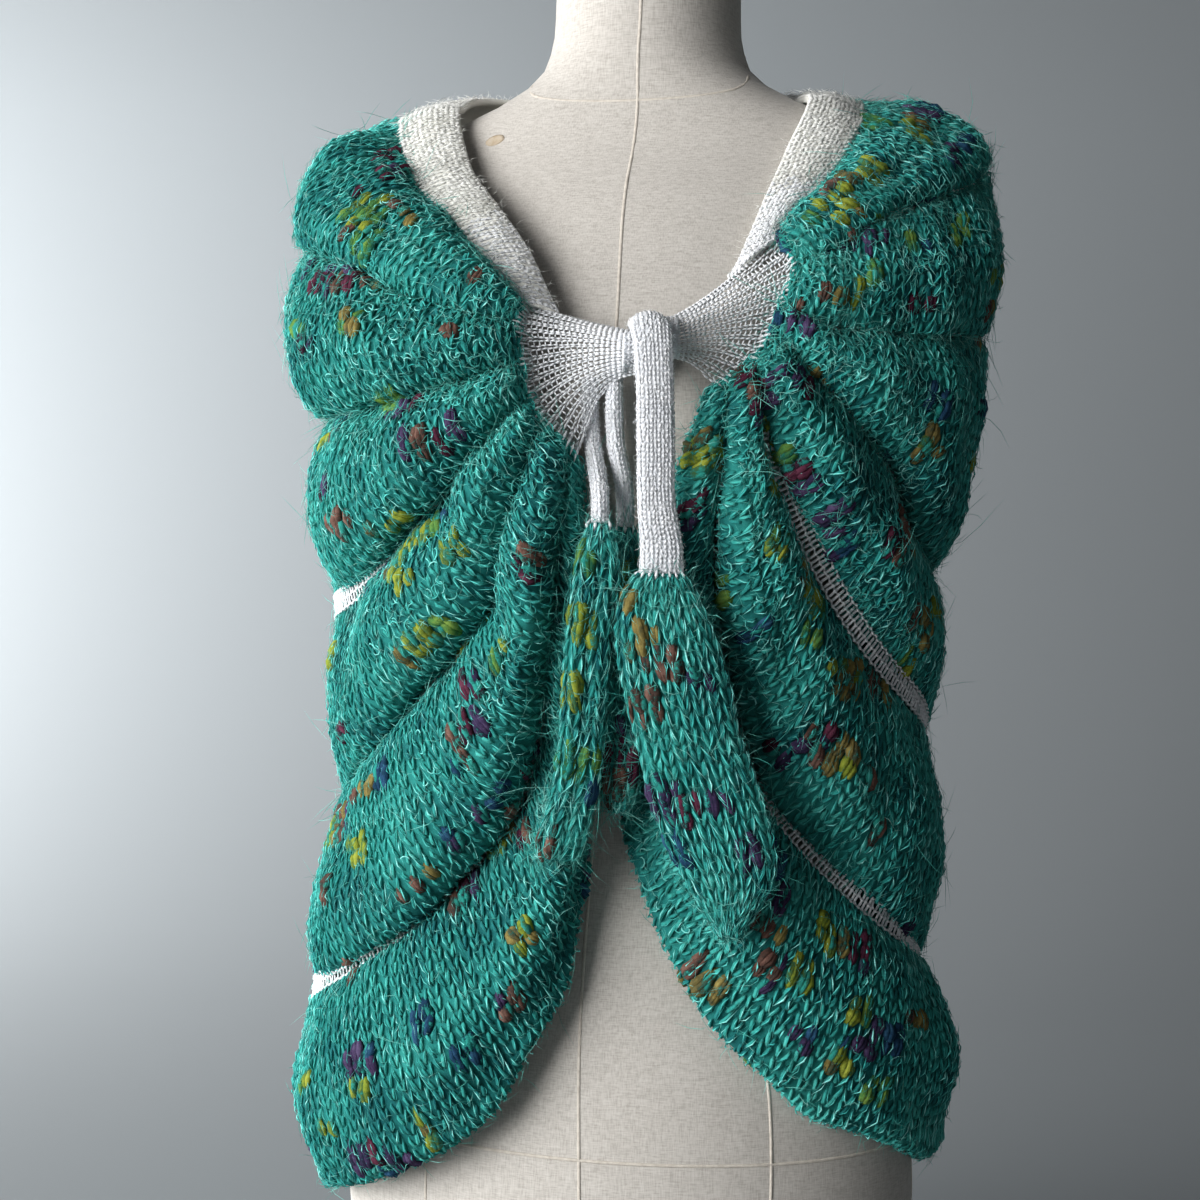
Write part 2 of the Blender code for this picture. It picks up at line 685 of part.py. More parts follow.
def main():
    clear_scene()
    build_dress_form()
    lines = [line_points(number) for number in range(len(LINE_NAMES))]
    across, outward = line_frames(lines)
    ends = build_cloth(lines, across, outward)
    build_neckband(lines, across, outward)
    build_fan("fan_left", ends, 0, LEFT_FAN_END)
    build_fan("fan_right", ends, -1, RIGHT_FAN_END)
    build_crossing()
    build_wide_cord()
    build_cord("cord_a", CORD_A)
    build_cord("cord_b", CORD_B)
    build_tail("tail_wide", WIDE_TAIL, rings=14)
    build_tail("tail_a", TAIL_A, rings=12, groove=TAIL_A_GROOVE)
    build_tail("tail_b", TAIL_B, rings=9)


main()
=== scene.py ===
# Knitted open poncho on a limbless linen dress form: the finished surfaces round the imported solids.
# Metres, +Z up, front towards -Y. Every piece rides on the one body, "root".
import math

import bpy
import numpy as np
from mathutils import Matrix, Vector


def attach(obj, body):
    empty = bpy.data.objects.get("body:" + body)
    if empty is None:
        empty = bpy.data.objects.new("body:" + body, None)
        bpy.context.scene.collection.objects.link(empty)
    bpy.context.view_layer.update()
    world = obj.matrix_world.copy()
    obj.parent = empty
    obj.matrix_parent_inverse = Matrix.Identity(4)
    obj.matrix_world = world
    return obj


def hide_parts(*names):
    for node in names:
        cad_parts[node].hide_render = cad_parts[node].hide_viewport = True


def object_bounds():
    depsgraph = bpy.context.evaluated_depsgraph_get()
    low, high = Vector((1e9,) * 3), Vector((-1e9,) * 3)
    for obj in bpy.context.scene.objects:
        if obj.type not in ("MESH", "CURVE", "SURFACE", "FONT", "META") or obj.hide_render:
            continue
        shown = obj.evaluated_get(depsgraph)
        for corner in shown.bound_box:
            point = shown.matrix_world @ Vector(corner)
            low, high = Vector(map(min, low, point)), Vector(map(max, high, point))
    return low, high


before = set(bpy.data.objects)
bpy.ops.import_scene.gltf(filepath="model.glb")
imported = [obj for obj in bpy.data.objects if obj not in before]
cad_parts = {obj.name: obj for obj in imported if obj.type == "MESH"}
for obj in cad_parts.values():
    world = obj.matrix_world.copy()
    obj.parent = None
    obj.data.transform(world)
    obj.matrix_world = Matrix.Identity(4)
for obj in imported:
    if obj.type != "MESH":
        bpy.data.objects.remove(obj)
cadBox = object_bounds()
mm = 0.001
chance = np.random.default_rng(42)


# Small helpers

def unit(vectors):
    return vectors / np.maximum(np.linalg.norm(vectors, axis=-1, keepdims=True), 1e-12)


def ease(share):
    share = np.clip(share, 0.0, 1.0)
    return share * share * (3 - 2 * share)


def turnsOf(count):
    return np.linspace(0, 2 * math.pi, count, endpoint=False)


def lengthsAlong(points):
    return np.concatenate([[0.0], np.cumsum(np.linalg.norm(np.diff(points, axis=0), axis=1))])


# Values at the places asked for, on a smooth curve through the knots
def smoothCurve(knots, values, at):
    knots, values, at = np.asarray(knots, float), np.asarray(values, float), np.asarray(at, float)
    if values.ndim == 1:
        values = values[:, None]
    steps = np.diff(knots)[:, None]
    slopes = np.diff(values, axis=0) / steps
    inner = (slopes[:-1] * steps[1:] + slopes[1:] * steps[:-1]) / (steps[:-1] + steps[1:])
    tangents = np.concatenate([slopes[:1], inner, slopes[-1:]])
    place = np.clip(np.searchsorted(knots, at, side="right") - 1, 0, len(knots) - 2)
    width = steps[place]
    t = (at - knots[place])[:, None] / width
    return ((2 * t**3 - 3 * t**2 + 1) * values[place] + (t**3 - 2 * t**2 + t) * width * tangents[place]
            + (-2 * t**3 + 3 * t**2) * values[place + 1] + (t**3 - t**2) * width * tangents[place + 1])


def finer(marks, table, count):
    return smoothCurve(marks, table, np.linspace(0, marks[-1], count))


def addObject(name, data):
    piece = bpy.data.objects.new(name, data)
    bpy.context.scene.collection.objects.link(piece)
    return piece


# The pieces replace the part, whose imported solid is hidden
def claim(node, slot, *pieces):
    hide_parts(node)


# A mesh piece from points and sets of faces, each set with as many corners in every face
def addMesh(name, points, faceSets, materials, slots=None):
    corners = np.concatenate([faces.ravel() for faces in faceSets]).astype(np.int32)
    sizes = np.concatenate([np.full(len(faces), faces.shape[1]) for faces in faceSets])
    mesh = bpy.data.meshes.new(name)
    mesh.vertices.add(len(points))
    mesh.vertices.foreach_set("co", np.asarray(points, np.float32).ravel())
    mesh.loops.add(len(corners))
    mesh.loops.foreach_set("vertex_index", corners)
    mesh.polygons.add(len(sizes))
    mesh.polygons.foreach_set("loop_start", np.concatenate([[0], np.cumsum(sizes)[:-1]]).astype(np.int32))
    for material in materials:
        mesh.materials.append(material)
    if slots is not None:
        mesh.polygons.foreach_set("material_index", np.asarray(slots, np.int32))
    mesh.update(calc_edges=True)
    mesh.validate()
    mesh.shade_smooth()
    piece = addObject(name, mesh)
    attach(piece, "root")
    return piece


# Yarn, strands and hairs: closed tubes with pointed ends along many short paths at once.
# paths[piece, point], wide and thick[piece, inner point], ups[piece] says which way the thickness lies
def addSpindles(name, paths, wide, thick, ups, sides, materials, kinds=None):
    count, knots = paths.shape[:2]
    tangents = unit(paths[:, 2:] - paths[:, :-2])
    side = unit(np.cross(tangents, ups[:, None]))
    lift = np.cross(side, tangents)
    angles = np.arange(sides) * 2 * math.pi / sides
    rings = (paths[:, 1:-1, None]
             + side[:, :, None] * (np.cos(angles)[:, None] * wide[:, :, None, None])
             + lift[:, :, None] * (np.sin(angles)[:, None] * thick[:, :, None, None]))
    points = np.concatenate([paths[:, :1], rings.reshape(count, -1, 3), paths[:, -1:]], axis=1)
    last = points.shape[1] - 1
    k = np.arange(sides)
    after = (k + 1) % sides
    tips = [np.stack([0 * k, 1 + after, 1 + k], axis=1),
            np.stack([0 * k + last, last - sides + k, last - sides + after], axis=1)]
    belts = [np.stack([a + k, a + after, a + sides + after, a + sides + k], axis=1)
             for a in range(1, last - sides, sides)]
    shift = (np.arange(count) * (last + 1))[:, None, None]
    faceSets = []
    for faces, corners in ((tips, 3), (belts, 4)):
        faceSets.append((np.array(faces, int).reshape(1, -1, corners) + shift).reshape(-1, corners))
    slots = None
    if kinds is not None:
        slots = np.concatenate([np.repeat(kinds, 2 * sides), np.repeat(kinds, sides * (knots - 3))])
    return addMesh(name, points.reshape(-1, 3), faceSets, materials, slots)


# A curved surface as a grid of points. Columns of knit stitches run along its second axis, side by
# side along its first. A closed one joins its last column to its first.
class Cloth:
    def __init__(self, points, closed=False):
        self.points, self.closed = points, closed
        ring = np.concatenate([points[-1:], points, points[:1]]) if closed else points
        along = np.gradient(ring, axis=0)
        if closed:
            along = along[1:-1]
        self.normals = unit(np.cross(along, np.gradient(points, axis=1)))

    def read(self, grid, u, v):
        rows, columns = grid.shape[:2]
        v = np.clip(v, 0, columns - 1 - 1e-6)
        u = np.mod(u, rows) if self.closed else np.clip(u, 0, rows - 1 - 1e-6)
        u0, v0 = np.floor(u).astype(int) % rows, np.floor(v).astype(int)
        u1 = (u0 + 1) % rows
        fu, fv = (u - np.floor(u))[..., None], (v - v0)[..., None]
        near = grid[u0, v0] * (1 - fv) + grid[u0, v0 + 1] * fv
        far = grid[u1, v0] * (1 - fv) + grid[u1, v0 + 1] * fv
        return near * (1 - fu) + far * fu

    def at(self, u, v, height=0.0):
        normal = unit(self.read(self.normals, u, v))
        return self.read(self.points, u, v) + normal * np.asarray(height)[..., None], normal


def cells(grid):
    return np.stack([grid[:-1, :-1], grid[1:, :-1], grid[1:, 1:], grid[:-1, 1:]], axis=-1).reshape(-1, 4)


# Closed wall of a cloth: its outer grid and the same grid moved in
def addWall(name, cloth, thick, material):
    inner = cloth.points - cloth.normals * thick[:, None, None]
    index = np.arange(inner.size // 3).reshape(inner.shape[:2])
    under = index + index.size

    def edge(a, b):
        return np.stack([a[:-1], b[:-1], b[1:], a[1:]], axis=-1)

    faces = [cells(index), cells(under)[:, ::-1], edge(index[:, 0], under[:, 0]),
             edge(under[:, -1], index[:, -1]), edge(under[0], index[0]), edge(index[-1], under[-1])]
    points = np.concatenate([cloth.points.reshape(-1, 3), inner.reshape(-1, 3)])
    return addMesh(name, points, [np.concatenate(faces)], [material])


# Solid through closed rings of points, with flat ends
def addLoft(name, cloth, material):
    index = np.arange(cloth.points.size // 3).reshape(cloth.points.shape[:2])
    around = cells(np.concatenate([index, index[:1]]))
    faces = [around, index[None, ::-1, 0], index[None, :, -1]]
    return addMesh(name, cloth.points.reshape(-1, 3), faces, [material])


# Camera
cameraView = {
    "place": (-0.024, -1.2, 0.513),
    "rollDegrees": 1.15,
    "seenWidth": 0.7872,        # metres across the picture, at the form's axis
    "distance": 1.2,
    "sensor": 36.0,
}


def makeCamera():
    data = bpy.data.cameras.new("camera")
    data.sensor_width = cameraView["sensor"]
    data.lens = cameraView["sensor"] * cameraView["distance"] / cameraView["seenWidth"]
    camera = addObject("camera", data)
    camera.location = cameraView["place"]
    camera.rotation_euler = (math.pi / 2, -math.radians(cameraView["rollDegrees"]), 0)
    bpy.context.scene.camera = camera


makeCamera()
print("camera placed")


# Materials

def newMaterial(name):
    material = bpy.data.materials.new(name)
    material.use_nodes = True
    return material, material.node_tree.nodes, material.node_tree.nodes["Principled BSDF"]


def setInputs(node, values):
    for socket, value in values.items():
        node.inputs[socket].default_value = value


def addNode(nodes, kind, inputs=None, **settings):
    node = nodes.new("ShaderNode" + kind)
    for key, value in settings.items():
        setattr(node, key, value)
    setInputs(node, inputs or {})
    return node


def addRamp(nodes, *stops):
    ramp = addNode(nodes, "ValToRGB")
    marks = ramp.color_ramp.elements
    while len(marks) < len(stops):
        marks.new(0.5)
    for mark, (place, colour) in zip(marks, stops):
        mark.position = place
        mark.color = (*colour, 1.0)
    return ramp


# Each joint is a node, its output, the next node and its input
def wire(material, *joints):
    for start, out, end, into in joints:
        material.node_tree.links.new(start.outputs[out], end.inputs[into])


# Soft yarn: patches of three shades, a little different from stitch to stitch, with fine fibres
def yarnMaterial(name, dark, middle, light, patch=45.0, fibre=500.0, roughness=0.85, sheen=0.4, bump=0.6,
                 island=0.35, shine=0.12, soft=0.0, fibreShare=0.35):
    material, nodes, shader = newMaterial(name)
    place, loose = addNode(nodes, "TexCoord"), addNode(nodes, "NewGeometry")
    patches = addNode(nodes, "TexNoise", {"Scale": patch, "Detail": 3.0, "Roughness": 0.6})
    fibres = addNode(nodes, "TexNoise", {"Scale": fibre, "Detail": 2.0, "Roughness": 0.7, "Distortion": 2.5})
    spread = addNode(nodes, "Math", {1: island}, operation="MULTIPLY_ADD")
    total = addNode(nodes, "Math", {1: fibreShare}, operation="MULTIPLY_ADD")
    lower = addNode(nodes, "Math", {1: (fibreShare + island) / 2}, operation="SUBTRACT")
    shades = addRamp(nodes, (0.30, dark), (0.58, middle), (0.95, light))
    height = addNode(nodes, "Bump", {"Strength": bump, "Distance": 0.0006})
    wire(material, (place, "Object", patches, "Vector"), (place, "Object", fibres, "Vector"),
         (loose, "Random Per Island", spread, 0), (patches, "Fac", spread, 2), (fibres, "Fac", total, 0),
         (spread, 0, total, 2), (total, 0, lower, 0), (lower, 0, shades, "Fac"),
         (shades, "Color", shader, "Base Color"), (fibres, "Fac", height, "Height"),
         (height, "Normal", shader, "Normal"))
    setInputs(shader, {
        "Roughness": roughness, "Specular IOR Level": shine, "Sheen Weight": sheen, "Sheen Roughness": 0.45,
        "Sheen Tint": (*light, 1.0), "Subsurface Weight": soft, "Subsurface Radius": (1.0, 1.0, 1.0),
        "Subsurface Scale": 0.003,
    })
    return material


# Felted roving with wisps of the teal yarn in it
def slubMaterial(name, *shades):
    material = yarnMaterial(name, *shades, patch=150.0, roughness=0.95, sheen=0.5, bump=1.0, island=0.5)
    ramp = next(node for node in material.node_tree.nodes if node.type == "VALTORGB").color_ramp
    wisp = ramp.elements.new(0.24)
    wisp.color = (0.02, 0.24, 0.20, 1.0)
    ramp.elements[1].position = 0.36
    return material


# Plain weave: two crossed sets of slightly uneven threads
def linenMaterial():
    look = {"thread": (0.485, 0.455, 0.415), "shade": (0.37, 0.342, 0.308), "pale": (0.55, 0.523, 0.482),
            "threadsPerMetre": 1500.0, "stretches": ((1.0, 1.0, 0.10), (0.12, 0.12, 1.0))}
    material, nodes, shader = newMaterial("linen")
    place = addNode(nodes, "TexCoord")
    both = addNode(nodes, "Math", operation="ADD")
    half = addNode(nodes, "Math", {1: 0.5}, operation="MULTIPLY")
    shades = addRamp(nodes, (0.36, look["shade"]), (0.52, look["thread"]), (0.66, look["pale"]))
    height = addNode(nodes, "Bump", {"Strength": 0.35, "Distance": 0.0005})
    for side, stretch in enumerate(look["stretches"]):
        squeeze = addNode(nodes, "Mapping", {"Scale": stretch})
        streaks = addNode(nodes, "TexNoise", {"Scale": look["threadsPerMetre"], "Detail": 2.0})
        wire(material, (place, "Object", squeeze, "Vector"), (squeeze, "Vector", streaks, "Vector"),
             (streaks, "Fac", both, side))
    wire(material, (both, 0, half, 0), (half, 0, shades, "Fac"), (half, 0, height, "Height"),
         (shades, "Color", shader, "Base Color"), (height, "Normal", shader, "Normal"))
    setInputs(shader, {"Roughness": 0.9, "Sheen Weight": 0.15})
    return material


# Dark, middle and light shades of each yarn
teal = {
    # the base is darker than the yarn: painted shade for the gaps between the stitches, where it shows
    # through
    "base": yarnMaterial("tealBasePaintedShade", (0.004, 0.07, 0.078), (0.018, 0.20, 0.18), (0.05, 0.34, 0.30),
                         patch=20.0, island=0.0, bump=0.9),
    "yarn": yarnMaterial("tealYarn", (0.007, 0.115, 0.125), (0.036, 0.35, 0.308), (0.12, 0.60, 0.52),
                         patch=20.0, bump=0.9, island=0.3),
    # pale strands: a lighter shiny thread in the yarn, made paler still as painted highlight
    "strand": yarnMaterial("paleStrandAndHighlight", (0.025, 0.34, 0.31), (0.10, 0.60, 0.54), (0.33, 0.81, 0.76),
                           patch=60.0, roughness=0.6, sheen=0.2, bump=0.1, island=0.7, shine=0.25),
    "hair": yarnMaterial("tealHair", (0.02, 0.24, 0.20), (0.10, 0.48, 0.41), (0.34, 0.70, 0.63), bump=0.0,
                         island=0.6),
}
slubShades = {
    "slubLime": ((0.03, 0.10, 0.04), (0.18, 0.23, 0.025), (0.36, 0.39, 0.06)),
    "slubMoss": ((0.01, 0.09, 0.05), (0.07, 0.19, 0.045), (0.21, 0.32, 0.06)),
    "slubOchre": ((0.04, 0.05, 0.03), (0.16, 0.125, 0.04), (0.31, 0.25, 0.08)),
    "slubRust": ((0.025, 0.025, 0.022), (0.11, 0.055, 0.042), (0.24, 0.14, 0.11)),
    "slubWine": ((0.015, 0.008, 0.018), (0.065, 0.014, 0.03), (0.14, 0.04, 0.07)),
    "slubPlum": ((0.012, 0.015, 0.035), (0.042, 0.026, 0.07), (0.10, 0.075, 0.15)),
    "slubNavy": ((0.003, 0.022, 0.04), (0.012, 0.045, 0.10), (0.035, 0.12, 0.20)),
}
slubs = [slubMaterial(name, *shades) for name, shades in slubShades.items()]
white = yarnMaterial("whiteYarn", (0.80, 0.82, 0.86), (0.90, 0.915, 0.94), (0.96, 0.97, 0.98), sheen=0.3,
                     bump=0.3, island=0.15, soft=0.5)
whiteBase = yarnMaterial("whiteBase", (0.78, 0.80, 0.84), (0.86, 0.88, 0.92), (0.92, 0.94, 0.97), bump=0.3,
                         island=0.0, soft=0.5)
cream = yarnMaterial("creamYarn", (0.80, 0.80, 0.75), (0.90, 0.90, 0.86), (0.96, 0.96, 0.93), island=0.15,
                     soft=0.4)
creamBase = yarnMaterial("creamBase", (0.68, 0.67, 0.61), (0.79, 0.78, 0.73), (0.86, 0.85, 0.81), island=0.0)
linen = linenMaterial()
seamThread = yarnMaterial("seamThread", (0.50, 0.45, 0.39), (0.62, 0.57, 0.50), (0.72, 0.67, 0.60),
                          patch=300.0, fibre=1500.0, sheen=0.1, island=0.0)
tanMark = yarnMaterial("tanMark", (0.38, 0.29, 0.19), (0.49, 0.41, 0.31), (0.56, 0.50, 0.42), patch=260.0,
                       sheen=0.1, island=0.0)
print("materials made")


# Knitting

# Where each stitch of a cloth lies: grid place, reach on the grid, column number and course number.
# Neighbouring columns may slip a little past each other.
def stitchPlaces(cloth, look):
    points = cloth.points
    middle = points[:, points.shape[1] // 2]
    if cloth.closed:
        middle = np.concatenate([middle, middle[:1]])
    lengths = lengthsAlong(middle)
    count = look.get("wales") or max(int(round(lengths[-1] / look["waleWidth"])), 3)
    steps = np.arange(len(lengths))
    centres = np.interp((np.arange(count) + 0.5) / count * lengths[-1], lengths, steps)
    edges = np.interp(np.arange(count + 1) / count * lengths[-1], lengths, steps)
    courses = np.linspace(0, points.shape[1] - 1, 4 * points.shape[1])
    found = []
    for wale, centre in enumerate(centres):
        length = lengthsAlong(cloth.read(points, np.full(len(courses), centre), courses))
        stitches = max(int(round(length[-1] / look["courseHeight"])), 1)
        marks = np.interp(np.arange(2 * stitches + 1) / (2 * stitches) * length[-1], length, courses)
        for k in range(stitches):
            reach = marks[2 * k + 2] - marks[2 * k]
            found.append((centre, marks[2 * k + 1], edges[wale + 1] - edges[wale], reach, wale, k))
    found = np.array(found)
    found[:, 1] += found[:, 3] * look.get("slip", 0.0) * np.sin(found[:, 4] * 2.3)
    return found


# One leg of each stitch as a path over the cloth. side is -1 for the left leg and 1 for the right.
# A stitch is a V, and each knot of its leg has a way out from its middle, a way down and a height.
def legPaths(cloth, places, side, leg, lift, stray, raised=0.0):
    u, v, du, dv = places[:, :4].T
    shift = chance.normal(0, stray, (len(places), 2))
    knots = []
    for sideways, down, height in leg:
        place = u + du * (side * sideways + shift[:, 0])
        knots.append(cloth.at(place, v + dv * (down + shift[:, 1]), height * lift + raised)[0])
    return np.stack(knots, axis=1), cloth.at(u, v)[1]


def bothLegs(cloth, places, leg, lift, stray):
    found = [legPaths(cloth, places, side, leg, lift, stray) for side in (-1, 1)]
    return [np.concatenate(parts) for parts in zip(*found)]


def knit(name, cloth, places, look, materials, kinds=None):
    paths, ups = bothLegs(cloth, places, look["leg"], look["lift"], look["jitter"])
    fat = chance.uniform(0.85, 1.15, (len(paths), 1)) * np.ones(paths.shape[1] - 2) / 2
    if kinds is not None:
        kinds = np.concatenate([kinds, kinds])
    return addSpindles(name, paths, fat * look["legWide"], fat * look["legThick"], ups, look["sides"],
                       materials, kinds)


# Heights are shares of the slub's lift
slubShape = {"lean": 0.16, "bulk": (0.85, 1.4), "stray": 0.02, "crown": 1.5, "sunk": 0.7, "middle": 0.3,
             "taper": (0.75, 1.0, 0.75)}


# Soft slubs of roving on the stitches that have a colour: thick strands side by side that meet at both ends
def slubLumps(name, cloth, places, look, kinds):
    u, v, du, dv = places[kinds > 0, :4].T
    count = len(u)
    reach = chance.uniform(*look["slubReach"], count)
    lean = chance.normal(0, slubShape["lean"], count)
    bulk = chance.uniform(*slubShape["bulk"], count)
    paths, sizes = [], []
    for strand in (-1, 0, 1):
        knots = []
        for share in (-1, -0.5, 0, 0.5, 1):
            bow = 1 - share**2
            sideways = bulk * strand * look["slubSpread"] * bow + lean * share
            sideways = sideways + chance.normal(0, slubShape["stray"], count)
            middle = slubShape["middle"] if strand == 0 else 0.0
            height = (slubShape["crown"] * bow - slubShape["sunk"] + middle) * look["slubLift"] * bulk
            knots.append(cloth.at(u + du * sideways, v + dv * share * reach, height)[0])
        paths.append(np.stack(knots, axis=1))
        sizes.append(bulk * chance.uniform(0.85, 1.15, count))
    fat = np.concatenate(sizes)[:, None] * np.array(slubShape["taper"]) / 2
    return addSpindles(name, np.concatenate(paths), fat * look["slubWide"], fat * look["slubThick"],
                       np.tile(cloth.at(u, v)[1], (3, 1)), look["slubSides"], slubs,
                       np.tile(kinds[kinds > 0] - 1, 3))


# The waves across columns and courses say where there are more of them
strokeShape = {"waves": ((0.55, 0.8), (0.23, -0.4)), "patchDepth": 0.35, "raised": 0.45,
               "lengths": (0.6, 1.55), "sizes": (0.5, 1.5)}


# Short thin shiny strands that lie along the legs, more in some places than in others. Their pale colour is
# partly a real lighter thread and partly painted highlight on the fuzzy yarn
def strokes(name, cloth, places, look, material):
    wale, course = places[:, 4], places[:, 5]
    first, second = (np.sin(wale * a + course * b) for a, b in strokeShape["waves"])
    likely = look["strokeShare"] * (1 + strokeShape["patchDepth"] * (first * second))
    paths, ups = [], []
    for side in [-1] * look["strokeTurns"] + [1] * look["strokeTurns"]:
        some = places[chance.random(len(places)) < likely]
        path, normals = legPaths(cloth, some, side, look["strokeLeg"], look["lift"], look["strokeStray"],
                                 look["legThick"] * strokeShape["raised"])
        middle = path[:, 1:2]
        path = middle + (path - middle) * chance.uniform(*strokeShape["lengths"], (len(some), 1, 1))
        twist = np.cross(normals[:, None], path - middle)
        path = path + twist * chance.normal(0, look["strokeTwist"], (len(some), 1, 1))
        path += chance.normal(0, look["strokeBend"], path.shape)
        paths.append(path)
        ups.append(normals)
    paths, ups = np.concatenate(paths), np.concatenate(ups)
    size = look["strokeRadius"] * chance.uniform(*strokeShape["sizes"], (len(paths), 1))
    return addSpindles(name, paths, size, size, ups, 3, [material])


def flatWays(normal):
    flat = chance.normal(0, 1, normal.shape)
    return unit(flat - (flat * normal).sum(1, keepdims=True) * normal)


hairDroop = 0.12        # how far a hair's tip sinks again, as a share of its length
hairRoom = 16 * mm      # how far a hair may pass the box of the solids


# Loose hairs that lie along the cloth and lift off it, cut where they would pass the box by too much
def hairs(name, cloth, count, look, material):
    u = chance.uniform(0, len(cloth.points) - (0 if cloth.closed else 1), count)
    v = chance.uniform(0, cloth.points.shape[1] - 1, count)
    root, normal = cloth.at(u, v, look["root"])
    flat = flatWays(normal)
    bend = np.cross(normal, flat) * chance.normal(0, look["bend"], (count, 1))
    length = chance.uniform(*look["length"], (count, 1))
    rise = chance.uniform(*look["rise"], (count, 1))
    knots = []
    for share in np.linspace(0, 1, look["knots"]):
        up = rise * share - hairDroop * share**2
        knots.append(root + length * (flat * share + bend * share**2 + normal * up))
    size = look["radius"] * chance.uniform(0.7, 1.3, (count, 1)) * np.ones(look["knots"] - 2)
    low, high = np.array(cadBox)
    paths = np.clip(np.stack(knots, axis=1), low - hairRoom, high + hairRoom)
    return addSpindles(name, paths, size, size, normal, 3, [material])


whiteTube = {
    "waleWidth": 4.2 * mm, "courseHeight": 2.7 * mm, "sides": 3, "inset": 0.4 * mm,
    "leg": [(0.44, -0.80, -0.4), (0.25, 0.0, 1.0), (0.05, 0.80, -0.4)],
    "legWide": 2.1 * mm, "legThick": 1.0 * mm, "lift": 0.12 * mm, "jitter": 0.05,
}
whiteFuzz = {"root": 0.5 * mm, "length": (1.5 * mm, 4 * mm), "rise": (0.1, 0.5), "radius": 0.12 * mm,
             "bend": 0.6, "knots": 3, "perMetre": 5500}


def whiteCover(name, cloth):
    count = int(whiteFuzz["perMetre"] * lengthsAlong(cloth.points[0])[-1])
    pieces = [
        knit(name + "Stitches", cloth, stitchPlaces(cloth, whiteTube), whiteTube, [white]),
        hairs(name + "Fuzz", cloth, count, whiteFuzz, white),
    ]
    return pieces


# Ties: a wide flat cord over the crossing and two round ones, each with a teal tail.
# x, y, z, width and thickness of each station, in millimetres
wideCord = {
    "sides": 36, "rings": 90, "squareness": 0.8, "bow": 4.5 * mm, "diameter": 0.024,
    "route": [
        (4, -137.5, 646, 21, 5.0), (3, -137.5, 662, 22, 5.0), (1, -141.5, 673, 23, 6.0),
        (0.5, -154.0, 675.5, 24, 6.5), (1, -166.0, 672.5, 24, 7.0), (2.5, -172.0, 661, 23, 7.5),
        (4, -174.5, 640, 22, 8.0), (5.5, -174.5, 600, 22, 8.0), (6.5, -174.0, 568, 22, 8.0),
        (10, -173.0, 540, 25, 8.5), (10, -173.0, 528.6, 26, 9.0),
    ],
}
roundCord = {"sides": 24, "rings": 60, "squareness": 1.0, "bow": 0.0, "diameter": 10.5 * mm}
cordARoute = [(-32, -138.1, 642), (-32, -138.1, 622), (-30.5, -141.0, 605), (-27, -157.0, 585),
              (-25, -168.5, 570), (-25, -169.0, 556.7)]
cordBRoute = [(-18.5, -145.2, 653), (-18.4, -144.2, 640), (-18.0, -144.4, 626), (-16.5, -147.0, 602),
              (-11.5, -150.0, 577), (-10.5, -150.5, 566), (-10.5, -150.5, 555.6)]
topBend = 9 * mm        # over this length the wide cord's top is bowed


def makeCord(name, node, look, route):
    table = np.array(route, float) * mm
    if look is roundCord:
        table = np.hstack([table, np.full((len(table), 2), look["diameter"])])
    marks = lengthsAlong(table[:, :3])
    table = finer(marks, table, look["rings"])
    centre, sizes = table[:, :3], table[:, 3:] / 2 - whiteTube["inset"]
    tangent = unit(np.gradient(centre, axis=0))
    sideways = np.array([1.0, 0.0, 0.0])
    sideways = unit(sideways - (tangent @ sideways)[:, None] * tangent)
    out = np.cross(tangent, sideways)
    angles = turnsOf(look["sides"])
    flat = np.sign(np.cos(angles)) * np.abs(np.cos(angles)) ** look["squareness"]
    rings = (centre[:, None] + sizes[:, :1, None] * flat[None, :, None] * sideways[:, None]
             + sizes[:, 1:, None] * np.sin(angles)[None, :, None] * out[:, None])
    nearTop = np.exp(-(((centre[:, 2].max() - centre[:, 2]) / topBend) ** 2))
    rings[:, :, 2] -= look["bow"] * nearTop[:, None] * flat[None, :] ** 2
    cloth = Cloth(rings.transpose(1, 0, 2), closed=True)
    core = addLoft(name, cloth, whiteBase)
    cover = whiteCover(name, cloth)
    claim(node, "white_yarn", core)


makeCord("cordWide", "cord_wide", wideCord, wideCord["route"])
makeCord("cordA", "cord_a", roundCord, cordARoute)
makeCord("cordB", "cord_b", roundCord, cordBRoute)
print("cords made")


# The dress form: its half width and its depths at each height, in millimetres
formTurn = math.radians(-11.5)
formSections = {
    "height": [0, 70, 150, 220, 300, 370, 440, 520, 600, 660, 720, 765, 793, 815, 830, 843, 856, 872,
               905, 940],
    "half": [172, 179, 185, 176, 152, 134, 137, 148, 157, 163, 175, 182, 174, 146, 110, 84, 69, 63, 60.5, 60],
    "front": [112, 118, 122, 118, 108, 101, 106, 122, 134, 127, 108, 88, 71, 63, 59, 58, 58, 57, 57, 57],
    "back": [112, 119, 126, 120, 102, 90, 90, 98, 106, 110, 107, 97, 87, 79, 73, 69, 65, 63, 62, 61],
}
formTable = np.array(list(formSections.values()), float).T * mm


def formSize(heights):
    return smoothCurve(formTable[:, 0], formTable[:, 1:], np.atleast_1d(heights))


# A point on the form's surface at an angle round it, where 0 is its own right and 90 degrees its back
def formPoint(angles, heights):
    half, front, back = formSize(heights).T
    x, y = half * np.cos(angles), np.where(np.sin(angles) > 0, back, front) * np.sin(angles)
    c, s = math.cos(formTurn), math.sin(formTurn)
    return np.stack([x * c - y * s, x * s + y * c, np.broadcast_to(heights, x.shape)], axis=-1)


# 1 on the form's surface, and more outside it
def formLevel(points):
    c, s = math.cos(formTurn), math.sin(formTurn)
    x = points[:, 0] * c + points[:, 1] * s
    y = points[:, 1] * c - points[:, 0] * s
    half, front, back = formSize(np.clip(points[:, 2], 0.0, formTable[-1, 0])).T
    return np.hypot(x / half, y / np.where(y < 0, front, back))


